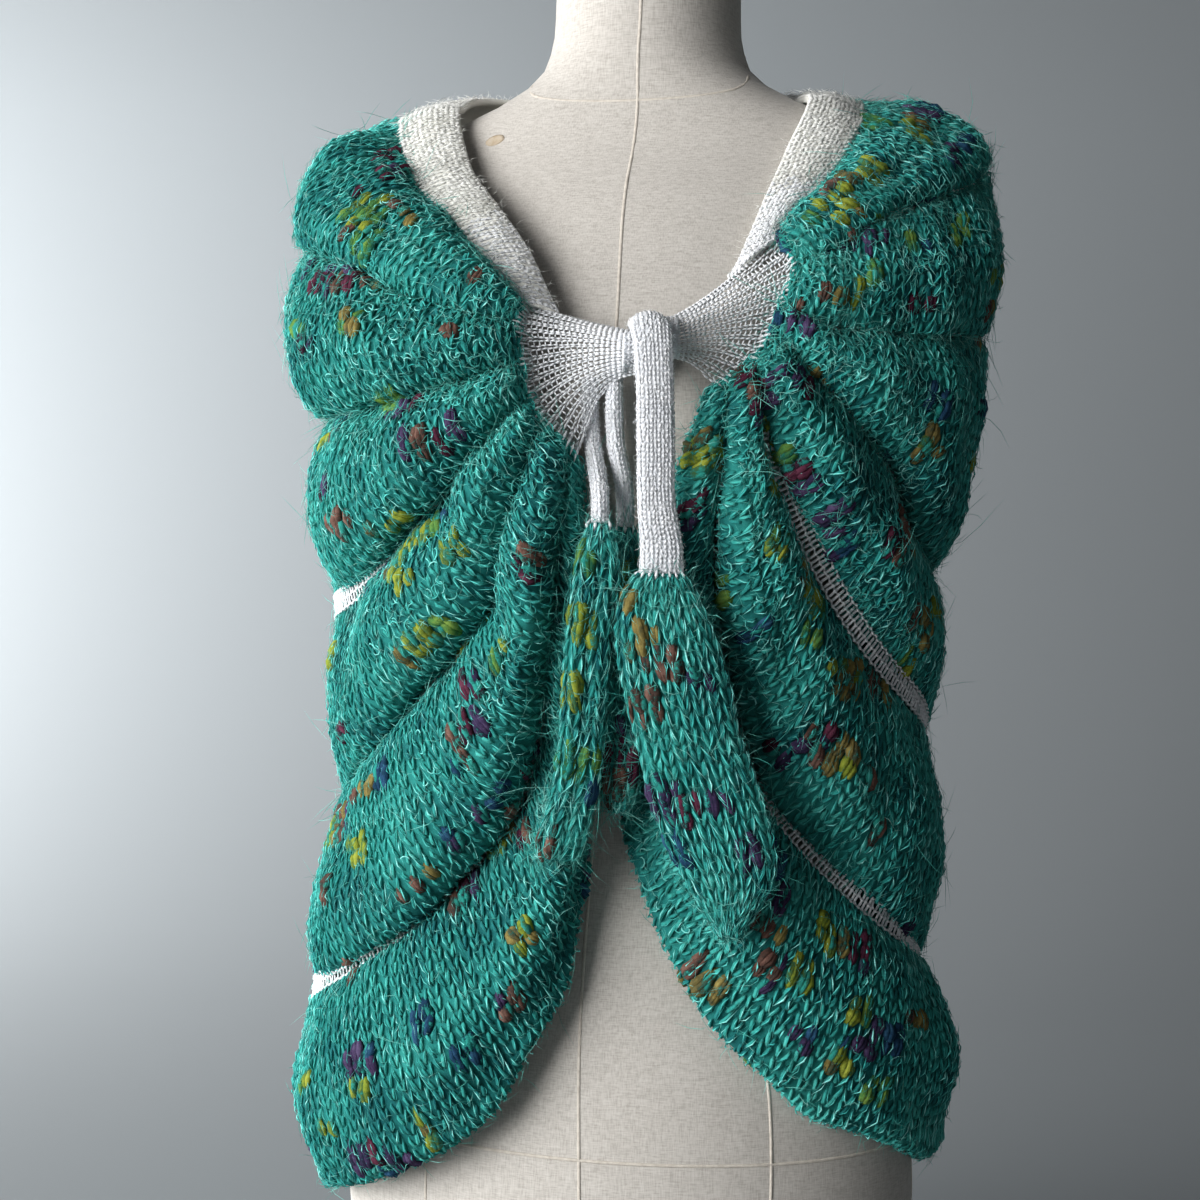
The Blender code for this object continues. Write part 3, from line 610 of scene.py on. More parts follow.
def formSlope(points):
    rises = [formLevel(points + step) - formLevel(points - step) for step in np.eye(3) * mm]
    return np.stack(rises, axis=1) / (2 * mm)


def clearOfForm(grid, gap):
    points = grid.reshape(-1, 3).astype(float)
    for _ in range(6):
        here, slope = formLevel(points), formSlope(points)
        steepness = np.linalg.norm(slope, axis=1)
        short = np.maximum(0.0, gap - (here - 1) / steepness)
        points += slope / steepness[:, None] * short[:, None]
    return points.reshape(grid.shape)


def makeForm():
    look = {"sides": 88, "rings": 80}
    heights = np.linspace(0, formTable[-1, 0], look["rings"])
    grid = np.stack([formPoint(turnsOf(look["sides"]), np.full(look["sides"], z)) for z in heights], axis=1)
    claim("dress_form", "linen", addLoft("formSkin", Cloth(grid, closed=True), linen))


# Sewn seams as fine raised threads, each through points of angle round the form and height
formSeams = {
    "centre": [(-91, 0.0), (-91.5, 0.15), (-93, 0.28), (-91, 0.45), (-88, 0.60), (-87.5, 0.66), (-88.5, 0.78),
               (-87, 0.84), (-85, 0.88), (-85, 0.94)],
    "right": [(-56, 0.0), (-55, 0.15), (-54, 0.22), (-55, 0.35), (-56, 0.50)],
    "left": [(-124, 0.0), (-125, 0.15), (-126, 0.22), (-125, 0.35), (-124, 0.50)],
    "back": [(90, 0.0), (90, 0.3), (90, 0.6), (90, 0.94)],
    "backRight": [(52, 0.0), (54, 0.3), (56, 0.5), (54, 0.74)],
    "backLeft": [(128, 0.0), (126, 0.3), (124, 0.5), (126, 0.74)],
    "sideRight": [(0, 0.0), (0, 0.4), (0, 0.79)],
    "sideLeft": [(180, 0.0), (180, 0.4), (180, 0.79)],
}
seamLook = {"wide": 1.0 * mm, "tall": 0.5 * mm, "sides": 8, "step": 6 * mm, "ringSteps": 140}
seamRings = {"seamNeck": (0.825, 0.040), "seamHip": (0.181, 0.0)}        # height, and its rise to the back


def seamTube(name, centre, closed=False):
    normals = unit(formSlope(centre))
    tangent = np.gradient(centre, axis=0)
    if closed:
        tangent = np.roll(centre, -1, axis=0) - np.roll(centre, 1, axis=0)
    side = unit(np.cross(normals, unit(tangent)))
    wide, tall = side * seamLook["wide"], normals * seamLook["tall"]
    turns = turnsOf(seamLook["sides"])
    rings = np.stack([centre + wide * math.cos(turn) + tall * math.sin(turn) for turn in turns])
    if closed:
        rings = np.concatenate([rings, rings[:, :1]], axis=1)
    addLoft(name, Cloth(rings[::-1], closed=True), seamThread)


def makeSeams():
    for name, knots in formSeams.items():
        table = np.array(knots, float)
        heights = np.arange(table[0, 1] + 2 * mm, table[-1, 1], seamLook["step"])
        angles = np.radians(smoothCurve(table[:, 1], table[:, 0], heights)[:, 0])
        seamTube(f"seam{name[0].upper()}{name[1:]}", formPoint(angles, heights))
    angles = turnsOf(seamLook["ringSteps"])
    for name, (height, rise) in seamRings.items():
        seamTube(name, formPoint(angles, height + rise * (1 + np.sin(angles))), closed=True)


# A small tan oval on the front of one shoulder
def makeMark():
    look = {"x": -0.0965, "z": 0.8035, "halfWide": 6.3 * mm, "halfTall": 3.4 * mm, "tilt": math.radians(18),
            "proud": 0.25 * mm, "sides": 28, "rings": (1.0, 0.72, 0.45, 0.2)}
    c, s = math.cos(look["tilt"]), math.sin(look["tilt"])
    turns = turnsOf(look["sides"])
    over, under = [], []
    for size in look["rings"]:
        wide, tall = look["halfWide"] * size * np.cos(turns), look["halfTall"] * size * np.sin(turns)
        x, z = look["x"] + wide * c - tall * s, look["z"] + wide * s + tall * c
        low, high = np.full(len(x), -0.3), np.zeros(len(x))
        for _ in range(30):        # the form's surface lies between the two
            middle = (low + high) / 2
            outside = formLevel(np.stack([x, middle, z], axis=1)) > 1
            low, high = np.where(outside, middle, low), np.where(outside, high, middle)
        points = np.stack([x, high, z], axis=1)
        points = points + unit(formSlope(points)) * look["proud"]
        over.insert(0, points)
        under.append(points - unit(formSlope(points)) * 2 * look["proud"])
    cloth = Cloth(np.stack(over + under, axis=1)[::-1], closed=True)
    addLoft("formMark", cloth, tanMark)


makeForm()
makeSeams()
makeMark()
print("dress form made")


# The lines that the cloth hangs on, the same as the solids'. Lengths in the tables are in millimetres.
ends = {"frontSteps": 39, "backSteps": 24}
clothThick = 4 * mm
rowWidth = 8 * mm
seamGap = 0.3 * mm
gatheredShare = 0.34
gatherReach = 0.20
bodyRadius = 150.0
formClearance = 0.5 * mm

# Across a panel: how far its cloth lifts and leans over the row at each share of its width
profile = {
    "share": [0.0, 0.05, 0.15, 0.32, 0.52, 0.66, 0.80, 0.90, 0.96, 0.985, 1.0],
    "lift": [0.0, 0.26, 0.53, 0.82, 0.98, 1.0, 0.90, 0.68, 0.38, 0.16, 0.0],
    "lean": [0.0, 0.1, 0.2, 0.1, 0.0, 0.1, 0.5, 1.2, 1.6, 1.2, 0.0],
}
profileShares = [0.0, 0.015, 0.035, 0.065, 0.11, 0.17, 0.25, 0.34, 0.42, 0.5, 0.58, 0.66, 0.75, 0.83,
                 0.89, 0.935, 0.965, 0.985, 1.0]
# x outwards and z of each line from its fan to the side
leftFront = [
    [(51, 680), (70, 720), (94, 756), (108, 778), (115, 799), (121, 834)],
    [(72, 684), (96, 716), (116, 743), (135, 760), (148, 786), (157, 825)],
    [(74, 671), (97, 678), (120, 685), (145, 695), (171, 711), (211, 739)],
    [(70, 650), (88, 647), (111, 642), (135, 636), (164, 631), (196, 631)],
    [(67, 630), (89, 608), (111, 583), (137, 552), (160, 524), (185, 503)],
    [(59, 616), (70, 577), (84, 518), (108, 483), (136, 447), (179, 381)],
    [(47, 605), (52, 538), (57, 455), (72, 387), (113, 337), (195, 254)],
    [(36, 591), (34, 484), (32, 368), (46, 282), (90, 210), (197, 135)],
]
rightFront = [
    [(48, 703), (60, 731), (68, 751), (78, 773), (87, 797), (98, 844)],
    [(76, 730), (82, 745), (97, 760), (110, 776), (121, 797), (138, 840)],
    [(85, 711), (105, 721), (126, 739), (150, 753), (177, 767), (216, 800)],
    [(77, 689), (92, 681), (114, 677), (140, 678), (175, 681), (216, 692)],
    [(70, 670), (93, 655), (118, 631), (142, 604), (161, 564), (186, 534)],
    [(62, 656), (69, 612), (77, 587), (99, 539), (130, 492), (182, 424)],
    [(50, 645), (45, 571), (56, 463), (80, 396), (127, 342), (183, 283)],
    [(36, 636), (17, 575), (-6, 411), (12, 332), (57, 257), (199, 158)],
]
# Of each line: how far it stands off the form's front, its y and z at the back, and its squareness
lineBacks = [(10, 84, 860, 3.4), (15, 96, 826, 2.9), (19, 120, 742, 2.5), (20, 131, 627, 2.3),
             (21, 122, 502, 2.2), (22, 116, 381, 2.2), (20, 138, 259, 2.2), (18, 152, 133, 2.2)]
# How far each panel puffs out at the left front, left side, back, right side and right front
panelPuffs = [(15, 26, 12, 20, 14), (18, 18, 14, 9, 15), (19, 10, 13, 11, 18),
              (20, 7, 12, 8, 16), (20, 12, 14, 12, 17), (11, 14, 16, 18, 15)]
# The share of each row that is covered: at the left fan, front and side, at the back, and at the right
# side, front and fan
rowCovers = [(1.0, 1.0, 0.8, 0.5, 0.7, 1.0, 1.0), (1.0, 1.0, 0.9, 0.4, 0.8, 1.0, 1.0),
             (1.0, 0.2, 0.0, 0.4, 0.9, 1.0, 1.0), (1.0, 1.0, 0.9, 0.5, 0.6, 0.0, 0.0),
             (1.0, 0.9, 0.0, 0.4, 0.7, 0.45, 0.95)]


def linePoints(number):
    left, right = leftFront[number], rightFront[number]
    standoff, backY, backZ, squareness = lineBacks[number]

    def plan(path):
        sines = [min(1.0, abs(x) / path[-1][0]) ** (squareness / 2) for x, z in path]
        return [(math.copysign(math.asin(sine), x), z) for sine, (x, z) in zip(sines, path)]

    rightSide = [(2 * math.pi - angle, z) for angle, z in reversed(plan(right))]
    knots = np.array([*plan(left), (math.pi, backZ), *rightSide], float)
    steps = np.hypot(np.diff(knots[:, 0]) * bodyRadius, np.diff(knots[:, 1]))
    along = np.concatenate([[0.0], np.cumsum(steps)])
    side = len(left) - 1
    marks = [0.0, *along[side:side + 3], along[-1]]
    counts = [ends["frontSteps"], ends["backSteps"], ends["backSteps"], ends["frontSteps"]]
    places = [np.zeros(1)]
    for start, stop, count in zip(marks, marks[1:], counts):
        places.append(np.linspace(start, stop, count + 1)[1:])
    angle, height = smoothCurve(along, knots, np.concatenate(places)).T
    height = height * mm
    sine, cosine = np.sin(angle), np.cos(angle)
    half = np.where(sine > 0, left[-1][0], right[-1][0]) * mm
    depth = np.where(cosine > 0, formSize(height)[:, 1] + standoff * mm, backY * mm)
    x = -half * np.sign(sine) * np.abs(sine) ** (2 / squareness)
    y = -depth * np.sign(cosine) * np.abs(cosine) ** (2 / squareness)
    return clearOfForm(np.stack([x, y, height], axis=1), clothThick + formClearance)


# Values for every station of a line from a few along it. shares go from a fan, 0, to the side, 1.
def alongLine(shares, table):
    front, behind = ends["frontSteps"], ends["backSteps"]
    stations = 2 * (front + behind)
    near = [share * front for share in shares]
    knots = [*near, front + behind, *(stations - step for step in reversed(near))]
    return smoothCurve(knots, table, np.arange(stations + 1))[:, 0]


# From 0 at a fan to 1 at the side
toSide = np.linspace(0, 1, ends["frontSteps"] + 1)
fanShares = np.concatenate([toSide, np.ones(2 * ends["backSteps"] - 1), toSide[::-1]])
lines = [linePoints(number) for number in range(len(leftFront))]
across, outward = [], []
for number, line in enumerate(lines):
    tangent = unit(np.gradient(line, axis=0))
    down = lines[min(number + 1, len(lines) - 1)] - lines[max(number - 1, 0)]
    down = unit(down - (down * tangent).sum(1, keepdims=True) * tangent)
    across.append(down)
    outward.append(unit(np.cross(tangent, down)))
opened = ease(fanShares / gatherReach)
openWidth = (gatheredShare + (1 - gatheredShare) * opened)[:, None]
halfRow = rowWidth / 2 * openWidth + seamGap
panelCount = len(lines) - 2

# How far the lobes rise at their ends by the fans, and how far they roll over the joining rows
lobes = {"noseReach": 0.09, "noseStart": 0.14, "mostLean": 1.35, "leftRise": 0.95, "rightRise": 0.35,
         "sag": 9.0 * mm, "flatEdge": 1.3}
rowLook = {"spread": 0.40, "proud": 7.5 * mm}
hemRoll = {"radius": 6.5 * mm, "atFans": 0.45, "turn": math.radians(230), "steps": 7}
# Gentle uneven lumps of soft cloth, and the puckers that start at the fans
softness = {"lump": 2.0 * mm, "waves": 8, "lengths": (0.035, 0.095), "pucker": 2.2 * mm, "puckers": 2.5,
            "puckerReach": 0.45}


# A joining row at each station: how much of it the lobes beside it cover, half its width, and how far it
# lies in front of its line. The neck and the hem have none.
def rowShape(number):
    if not 1 < number < len(lines) - 1:
        return [np.zeros((len(fanShares), 1))] * 3
    cover = alongLine([0, 0.45, 0.75, 1], [1.0, *rowCovers[number - 2], 1.0])
    cover = np.clip(cover, 0, 1)[:, None]
    bare = 1 - cover
    return cover, halfRow * (1 + rowLook["spread"] * bare), rowLook["proud"] * opened[:, None] * bare


def rumple(grid):
    look = softness
    rows, columns = grid.shape[:2]
    shares = np.linspace(0, 1, columns)
    alongLength = lengthsAlong(grid[:, columns // 2])[:, None]
    acrossLength = shares[None, :] * np.linalg.norm(grid[:, -1] - grid[:, 0], axis=1)[:, None]
    wave = np.zeros((rows, columns))
    for _ in range(look["waves"]):
        size = chance.uniform(*look["lengths"])
        turn, phase = chance.uniform(0, math.pi), chance.uniform(0, 2 * math.pi)
        way = alongLength * math.cos(turn) + acrossLength * math.sin(turn)
        wave += np.sin(2 * math.pi / size * way + phase)
    wave *= look["lump"] / math.sqrt(look["waves"] / 2)
    reach = fanShares / look["puckerReach"]
    fade = (reach * np.exp(1 - reach) * np.exp(-(reach**2) / 3))[:, None]
    phase = chance.uniform(0, 2 * math.pi) + 3 * fanShares[:, None]
    pucker = look["pucker"] * fade * np.cos(2 * math.pi * look["puckers"] * shares + phase)
    height = (wave * opened[:, None] + pucker) * np.sin(math.pi * shares)[None, :] ** 0.5
    return grid + Cloth(grid).normals * height[:, :, None]


# The free edge of the last panel rolls in under itself
def rollHem(grid):
    on = unit(grid[:, -1] - grid[:, -3])
    out = unit(Cloth(grid).normals[:, -2])
    radius = (hemRoll["radius"] * (hemRoll["atFans"] + (1 - hemRoll["atFans"]) * opened))[:, None]
    centre = grid[:, -1] - out * radius
    extra = []
    for turn in np.linspace(0, hemRoll["turn"], hemRoll["steps"] + 1)[1:]:
        extra.append(centre + radius * (out * math.cos(turn) + on * math.sin(turn)))
    return np.concatenate([grid, np.stack(extra, axis=1)], axis=1)


def panelCloth(number):
    first, last = number, number + 1
    (coverUp, halfUp, riseUp), (coverDown, halfDown, riseDown) = rowShape(first), rowShape(last)
    top = lines[first] + across[first] * halfUp + outward[first] * riseUp
    foot = lines[last] - across[last] * halfDown + outward[last] * riseDown
    into = np.clip(1 - fanShares / lobes["noseReach"], 0, 1)
    nose = lobes["noseStart"] + (1 - lobes["noseStart"]) * np.sqrt(1 - into**2)
    front = np.sin(math.pi * fanShares**0.7)
    front[fanShares >= 1] = 0
    rise = np.where(np.arange(len(front)) < len(front) / 2, lobes["leftRise"], lobes["rightRise"])
    puffs = panelPuffs[number - 1]
    puff = alongLine([0, 0.5, 1], [puffs[0], *puffs, puffs[-1]]) * mm
    puff = (puff * nose * (1 + rise * front))[:, None]
    droop = np.array([0, 0, -lobes["sag"]]) * front[:, None]
    liftAndLean = np.array([profile["lift"], profile["lean"]]).T
    columns = []
    for share, (lift, lean) in zip(profileShares, smoothCurve(profile["share"], liftAndLean, profileShares)):
        way = unit(outward[first] * (1 - ease(share)) + outward[last] * ease(share))
        line, cover, side = (first, coverUp, -1) if share < 0.5 else (last, coverDown, 1)
        lift = lift * cover + math.sin(math.pi * share) ** lobes["flatEdge"] * (1 - cover)
        place = top * (1 - share) + foot * share + way * puff * lift + droop * math.sin(math.pi * share)
        columns.append(place + across[line] * (side * cover * halfRow) * lean * lobes["mostLean"])
    grid = rumple(np.stack(columns, axis=1))
    if last == len(lines) - 1:
        grid = rollHem(grid)
    return Cloth(clearOfForm(grid, clothThick + formClearance))


# Loose curls of the shiny strand, mostly on the gathered lobes, pale partly as painted highlight
def curls(name, cloth, look, material):
    rows, columns = cloth.points.shape[:2]
    count = look["count"]
    nearFan = chance.random(count) < look["nearFans"]
    share = np.where(nearFan, chance.uniform(0, look["gathered"], count), chance.uniform(0, 1, count))
    station = share * ends["frontSteps"]
    u = np.where(chance.random(count) < 0.5, station, rows - 1 - station)
    u = np.where(nearFan, u, chance.uniform(0, rows - 1, count))
    centre, normal = cloth.at(u, chance.uniform(0, columns - 1, count), look["above"])
    flat = flatWays(normal)
    other = np.cross(normal, flat)
    radius = chance.uniform(*look["radius"], (count, 1))
    sweep = chance.uniform(*look["sweep"], (count, 1))
    knots = []
    for turn in np.linspace(0, 1, look["knots"]):
        around = flat * np.cos(sweep * turn) + look["squash"] * other * np.sin(sweep * turn)
        knots.append(centre + radius * around)
    size = look["thick"] * chance.uniform(0.7, 1.3, (count, 1)) * np.ones(look["knots"] - 2)
    return addSpindles(name, np.stack(knots, axis=1), size, size, normal, 3, [material])


tealKnit = {
    "waleWidth": 10.4 * mm, "courseHeight": 7.7 * mm, "slip": 0.24, "sides": 3,
    "leg": [(0.32, -0.74, -0.7), (0.29, -0.26, 0.9), (0.15, 0.28, 1.0), (0.03, 0.72, -0.7)],
    "legWide": 2.7 * mm, "legThick": 2.3 * mm, "lift": 1.1 * mm, "jitter": 0.07,
    "slubLift": 1.7 * mm, "slubWide": 4.4 * mm, "slubThick": 3.8 * mm, "slubSpread": 0.22,
    "slubReach": (0.9, 1.4), "slubSides": 4,
    "strokeLeg": [(0.36, -0.72, 0.6), (0.27, -0.05, 1.7), (0.02, 0.68, 0.7)],
    "strokeShare": 0.84, "strokeTurns": 1, "strokeStray": 0.06, "strokeTwist": 0.12,
    "strokeBend": 0.5 * mm, "strokeRadius": 0.46 * mm,
}
curlLook = {"count": 420, "radius": (2.0 * mm, 4.2 * mm), "thick": 0.42 * mm, "sweep": (2.4, 4.6), "knots": 6,
            "above": 1.9 * mm, "gathered": 0.55, "nearFans": 0.75, "squash": 0.75}
tealFuzz = {"root": 1.9 * mm, "length": (5 * mm, 14 * mm), "rise": (0.05, 0.5), "radius": 0.17 * mm,
            "bend": 0.8, "knots": 3, "count": 3700}
tealHairs = {"root": 1.5 * mm, "length": (9 * mm, 34 * mm), "rise": (0.05, 0.6), "radius": 0.13 * mm,
             "bend": 0.6, "knots": 4, "count": 330}
# Runs of slub colours along the yarn, by their numbers in the list of slub materials from 1
slubPlan = {
    "perPanel": 38,
    "tall": 0.5,
    "runs": [(2, 1, 1, 3), (1, 1, 3), (2, 2), (3, 4, 4), (4, 5), (6, 5, 4), (5, 5), (6, 5), (7, 7, 6), (7, 7),
             (2, 1), (6, 4, 3, 1, 1), (3, 3, 4), (6, 6, 7), (4,), (1, 2), (5, 6, 6)],
}
# The slubs that show at the front: x, z, radius and the colours by number
frontSlubs = [
    (-169, 742, 15, (1, 2)), (-165, 723, 11, (2, 1)), (-162, 789, 7, (5,)), (-157, 775, 7, (5, 6)),
    (-193, 702, 9, (6, 5)), (-172, 671, 10, (3, 2)), (-179, 558, 8, (4,)), (-149, 626, 8, (2,)),
    (-138, 598, 7, (6,)), (-106, 541, 8, (1,)), (-139, 523, 7, (1,)), (-97, 463, 8, (6, 5)),
    (-97, 419, 9, (4, 7)), (-165, 361, 8, (1,)), (-171, 287, 7, (4,)), (-66, 316, 9, (1, 3)),
    (-69, 280, 9, (4, 6)), (-162, 235, 8, (6,)), (-161, 217, 7, (1,)), (-119, 198, 8, (1, 3)),
    (-186, 185, 7, (1,)), (-100, 246, 10, (7,)), (-108, 374, 8, (7, 6)), (118, 749, 12, (1, 3)),
    (134, 774, 9, (3, 1)), (132, 729, 9, (6,)), (82, 729, 7, (6, 7)), (159, 727, 8, (2, 7)),
    (60, 639, 9, (5, 4)), (76, 643, 7, (6,)), (32, 598, 12, (1, 3)), (110, 566, 9, (6,)),
    (115, 546, 10, (6, 7)), (168, 608, 9, (3, 1)), (174, 633, 9, (7,)), (78, 547, 8, (2, 1)),
    (120, 471, 11, (1, 3)), (100, 431, 9, (6, 4)), (120, 425, 10, (1, 3)), (66, 497, 8, (7,)),
    (82, 339, 8, (6,)), (137, 308, 8, (5,)), (80, 298, 10, (4, 6)), (96, 300, 9, (1,)),
    (121, 247, 9, (1, 3)), (103, 259, 10, (7, 6)),
]


# Which stitches are slubs: runs along a course, one stitch per column, and the clumps at the front
def slubKinds(places, where):
    kind = np.zeros(len(places), int)
    wale, course = places[:, 4], places[:, 5]
    for _ in range(slubPlan["perPanel"]):
        seed = chance.integers(len(places))
        run = slubPlan["runs"][chance.integers(len(slubPlan["runs"]))]
        tall = 2 if chance.random() < slubPlan["tall"] else 1
        for step, colour in enumerate(run):
            near = (wale == wale[seed] + step) & (course >= course[seed]) & (course < course[seed] + tall)
            kind[near] = colour
    for x, z, radius, colours in frontSlubs:
        near = (where[:, 1] < 0) & (np.hypot(where[:, 0] - x * mm, where[:, 2] - z * mm) < radius * mm)
        kind[near] = chance.choice(colours, near.sum())
    return kind


# What lies on a teal cloth: stitches, slubs, shiny strands, curls and hairs
def tealCover(name, cloth, places, kinds, look, fuzzCount, hairCount, curled=False):
    parts = [
        knit(name + "Stitches", cloth, places[kinds == 0], look, [teal["yarn"]]),
        slubLumps(name + "Slubs", cloth, places, look, kinds),
        strokes(name + "Strands", cloth, places, look, teal["strand"]),
    ]
    if curled:
        parts.append(curls(name + "Curls", cloth, curlLook, teal["strand"]))
    parts.append(hairs(name + "Fuzz", cloth, fuzzCount, tealFuzz, teal["hair"]))
    parts.append(hairs(name + "Hairs", cloth, hairCount, tealHairs, teal["hair"]))
    return parts


panels = {}
for number in range(1, panelCount + 1):
    cloth = panels[number] = panelCloth(number)
    name = f"panel{number}"
    places = stitchPlaces(cloth, tealKnit)
    kinds = slubKinds(places, cloth.at(places[:, 0], places[:, 1])[0])
    # the base shell, darker than the yarn, is painted shade in the gaps between the stitches
    shell = addWall(name + "Cloth", cloth, clothThick * openWidth[:, 0], teal["base"])
    parts = tealCover(name, cloth, places, kinds, tealKnit, tealFuzz["count"], tealHairs["count"],
                      curled=True)
    claim(f"panel_{number}", "teal_yarn", shell, *parts)
print("panels made")


# White joining rows: a ladder of fine threads between the panels. Rung and rail knots are shares of the
# ladder's width or of a rung's step, with their heights.
ladder = {"width": 11 * mm, "stray": 0.04, "filled": 0.9, "rung": 3.3 * mm,
          "rungRadius": 0.92 * mm, "railRadius": 1.35 * mm,
          "zigzag": 0.10, "rails": (0.06, 0.5, 0.94), "raise": 2.6 * mm, "sink": 1.5 * mm, "overlap": 1.25,
          "rungKnots": (0.0, 0.2, 0.8, 1.0), "rungHeights": (-1.0, 0.4, 0.4, -1.0),
          "railKnots": (-0.85, 0.0, 0.85), "railHeights": (0.2, 1.0, 0.2)}


def threadsOver(cloth, u, v, heights, radius):
    paths = np.stack([cloth.at(u[:, k], v[:, k], heights[k] * mm)[0] for k in range(u.shape[1])], axis=1)
    return paths, np.full((len(paths), u.shape[1] - 2), radius), cloth.at(u[:, 0], v[:, 0])[1]


def makeRow(number):
    name, look = f"row{number - 1}", ladder
    cover, half, rise = rowShape(number)
    height = look["raise"] * (1 - cover**2) - look["sink"] * cover**2 + rise
    middle = lines[number] + outward[number] * height
    shares = np.linspace(-look["overlap"], look["overlap"], 5)
    cloth = Cloth(np.stack([middle + across[number] * (half - seamGap) * share for share in shares], axis=1))
    last = len(shares) - 1
    length = lengthsAlong(cloth.points[:, 2])
    count = int(length[-1] / look["rung"])
    u = np.interp(np.linspace(0, length[-1], count), length, np.arange(len(length)))
    v = np.broadcast_to(np.array(look["rungKnots"]) * last, (count, 4))
    strayed = u[:, None] + chance.normal(0, look["stray"], (count, 4))
    rungs = threadsOver(cloth, strayed, v, look["rungHeights"], look["rungRadius"])
    reach = np.clip(u[:, None] + np.array(look["railKnots"]) * (u[1] - u[0]), 0, u[-1])
    swing = np.array([-1, 1, -1]) * look["zigzag"] * last
    swing = swing[None, :] * np.where(np.arange(count) % 2, 1, -1)[:, None]
    rails = [threadsOver(cloth, reach, rail * last + swing / 2, look["railHeights"], look["railRadius"])
             for rail in look["rails"]]
    paths, size, normals = (np.concatenate(parts) for parts in zip(*rails))
    piece = addSpindles(name + "Ladder", paths, size, size, normals, 3, [white])
    cross = addSpindles(name + "Rungs", rungs[0], rungs[1], rungs[1], rungs[2], 3, [white])
    claim(f"row_{number - 1}", "white_yarn", piece, cross)


for number in range(2, len(lines) - 1):
    makeRow(number)
print("rows made")


# Pointed stitches of one yarn that reach into the next one, at a row of the cloth. The other row and the
# way say where they point: away from it or towards it.
def teeth(name, cloth, wales, row, other, look, material):
    count = len(wales)
    roots, normals = cloth.at(wales, np.full(count, float(row)), look["above"])
    there, _ = cloth.at(wales, np.full(count, float(other)), look["otherAbove"])
    ways = unit(unit(roots - there) * look["way"] + normals * look["tilt"])
    reach = look["reach"] * chance.uniform(0.6, 1.3, (count, 1))
    paths = np.stack([roots - ways * reach, roots + normals * look["rise"], roots + ways * reach], axis=1)
    size = look["radius"] * chance.uniform(0.8, 1.2, (count, 1))
    return addSpindles(name, paths, size, size, normals, 4, [material])


# The neckband, white near the fans and cream elsewhere
bandLook = {
    "waleWidth": 4.2 * mm, "courseHeight": 3.4 * mm,
    "leg": [(0.24, -1.05, -0.6), (0.15, 0.0, 1.0), (0.02, 1.05, -0.6)],
    "legWide": 2.0 * mm, "legThick": 2.0 * mm, "lift": 0.8 * mm, "jitter": 0.11, "sides": 3, "columns": 9,
    "crown": 4.5 * mm, "footRise": 1.6 * mm, "edgeRise": 2.2 * mm, "endShare": 0.6, "whiteShare": 0.30,
    "blend": 0.03,
    "over": 3.0 * mm,
}
creamFuzz = {"root": 1.2 * mm, "length": (2.5 * mm, 8 * mm), "rise": (0.1, 0.7), "radius": 0.15 * mm,
             "bend": 0.6, "knots": 3, "count": 3400}
bandTeeth = {"above": 0.4 * mm, "otherAbove": 0.0, "way": 1, "tilt": 0.0, "reach": 3.6 * mm, "rise": 0.9 * mm,
             "radius": 1.0 * mm}


def makeBand():
    foot = lines[1] + across[1] * bandLook["over"]
    columns = []
    for share in np.linspace(0, 1, bandLook["columns"]):
        way = unit(outward[0] * (1 - share) + outward[1] * share)
        rise = bandLook["edgeRise"] if share == 1 else bandLook["footRise"] * share**2
        crown = bandLook["crown"] * math.sin(math.pi * share) + rise
        columns.append(lines[0] * (1 - share) + foot * share + way * crown)
    cloth = Cloth(clearOfForm(np.stack(columns, axis=1), clothThick + 2 * formClearance))
    thick = clothThick * (bandLook["endShare"] + (1 - bandLook["endShare"]) * opened)
    shell = addWall("neckbandCloth", cloth, thick, creamBase)
    places = stitchPlaces(cloth, bandLook)
    near = np.interp(places[:, 0], np.arange(len(fanShares)), fanShares)
    kinds = (near + chance.normal(0, bandLook["blend"], len(near)) < bandLook["whiteShare"]).astype(int)
    edge = cloth.points.shape[1] - 1.5
    parts = [
        knit("neckbandStitches", cloth, places, bandLook, [cream, white], kinds),
        hairs("neckbandFuzz", cloth, creamFuzz["count"], creamFuzz, cream),
        teeth("neckbandTeeth", cloth, np.unique(places[:, 0]), edge, edge - 1, bandTeeth, cream),
    ]
    claim("neckband", "cream_yarn", shell, *parts)


makeBand()
print("neckband made")


# Fans of open knitting from the gathered panels to the crossing, with their ends in millimetres
fanEnds = {
    "left": {"x": -13, "top": 666, "foot": 642, "y": -156, "topCurve": 0, "footCurve": 16},
    "right": {"x": 16, "top": 675, "foot": 652, "y": -156, "topCurve": 8, "footCurve": 7},
}
fanLook = {
    "wales": 19, "courseHeight": 3.4 * mm, "leg": [(0.24, -0.88, -0.2), (0.17, 0.0, 0.8), (0.05, 0.88, -0.2)],
    "bar": [(0.12, -0.62, -0.1), (0.50, -0.54, 0.2), (0.88, -0.62, -0.1)], "radius": 0.84 * mm,
    "crowded": 0.76 * mm, "barRadius": 0.66 * mm, "barWidth": 2.4 * mm, "lift": 0.6 * mm,
    "narrowest": 1.0 * mm, "jitter": 0.04, "barJitter": 0.03,
    "sag": 3.0 * mm, "under": 2.5 * mm, "bulge": 7.0 * mm, "past": 8.0 * mm, "ribs": 61, "rows": 17,
}
fanTeeth = {"start": 0.5, "above": 2.0 * mm, "otherAbove": 2.0 * mm, "way": 1, "tilt": 0.65,
            "reach": 8.0 * mm, "rise": 2.6 * mm, "radius": 0.80 * mm}


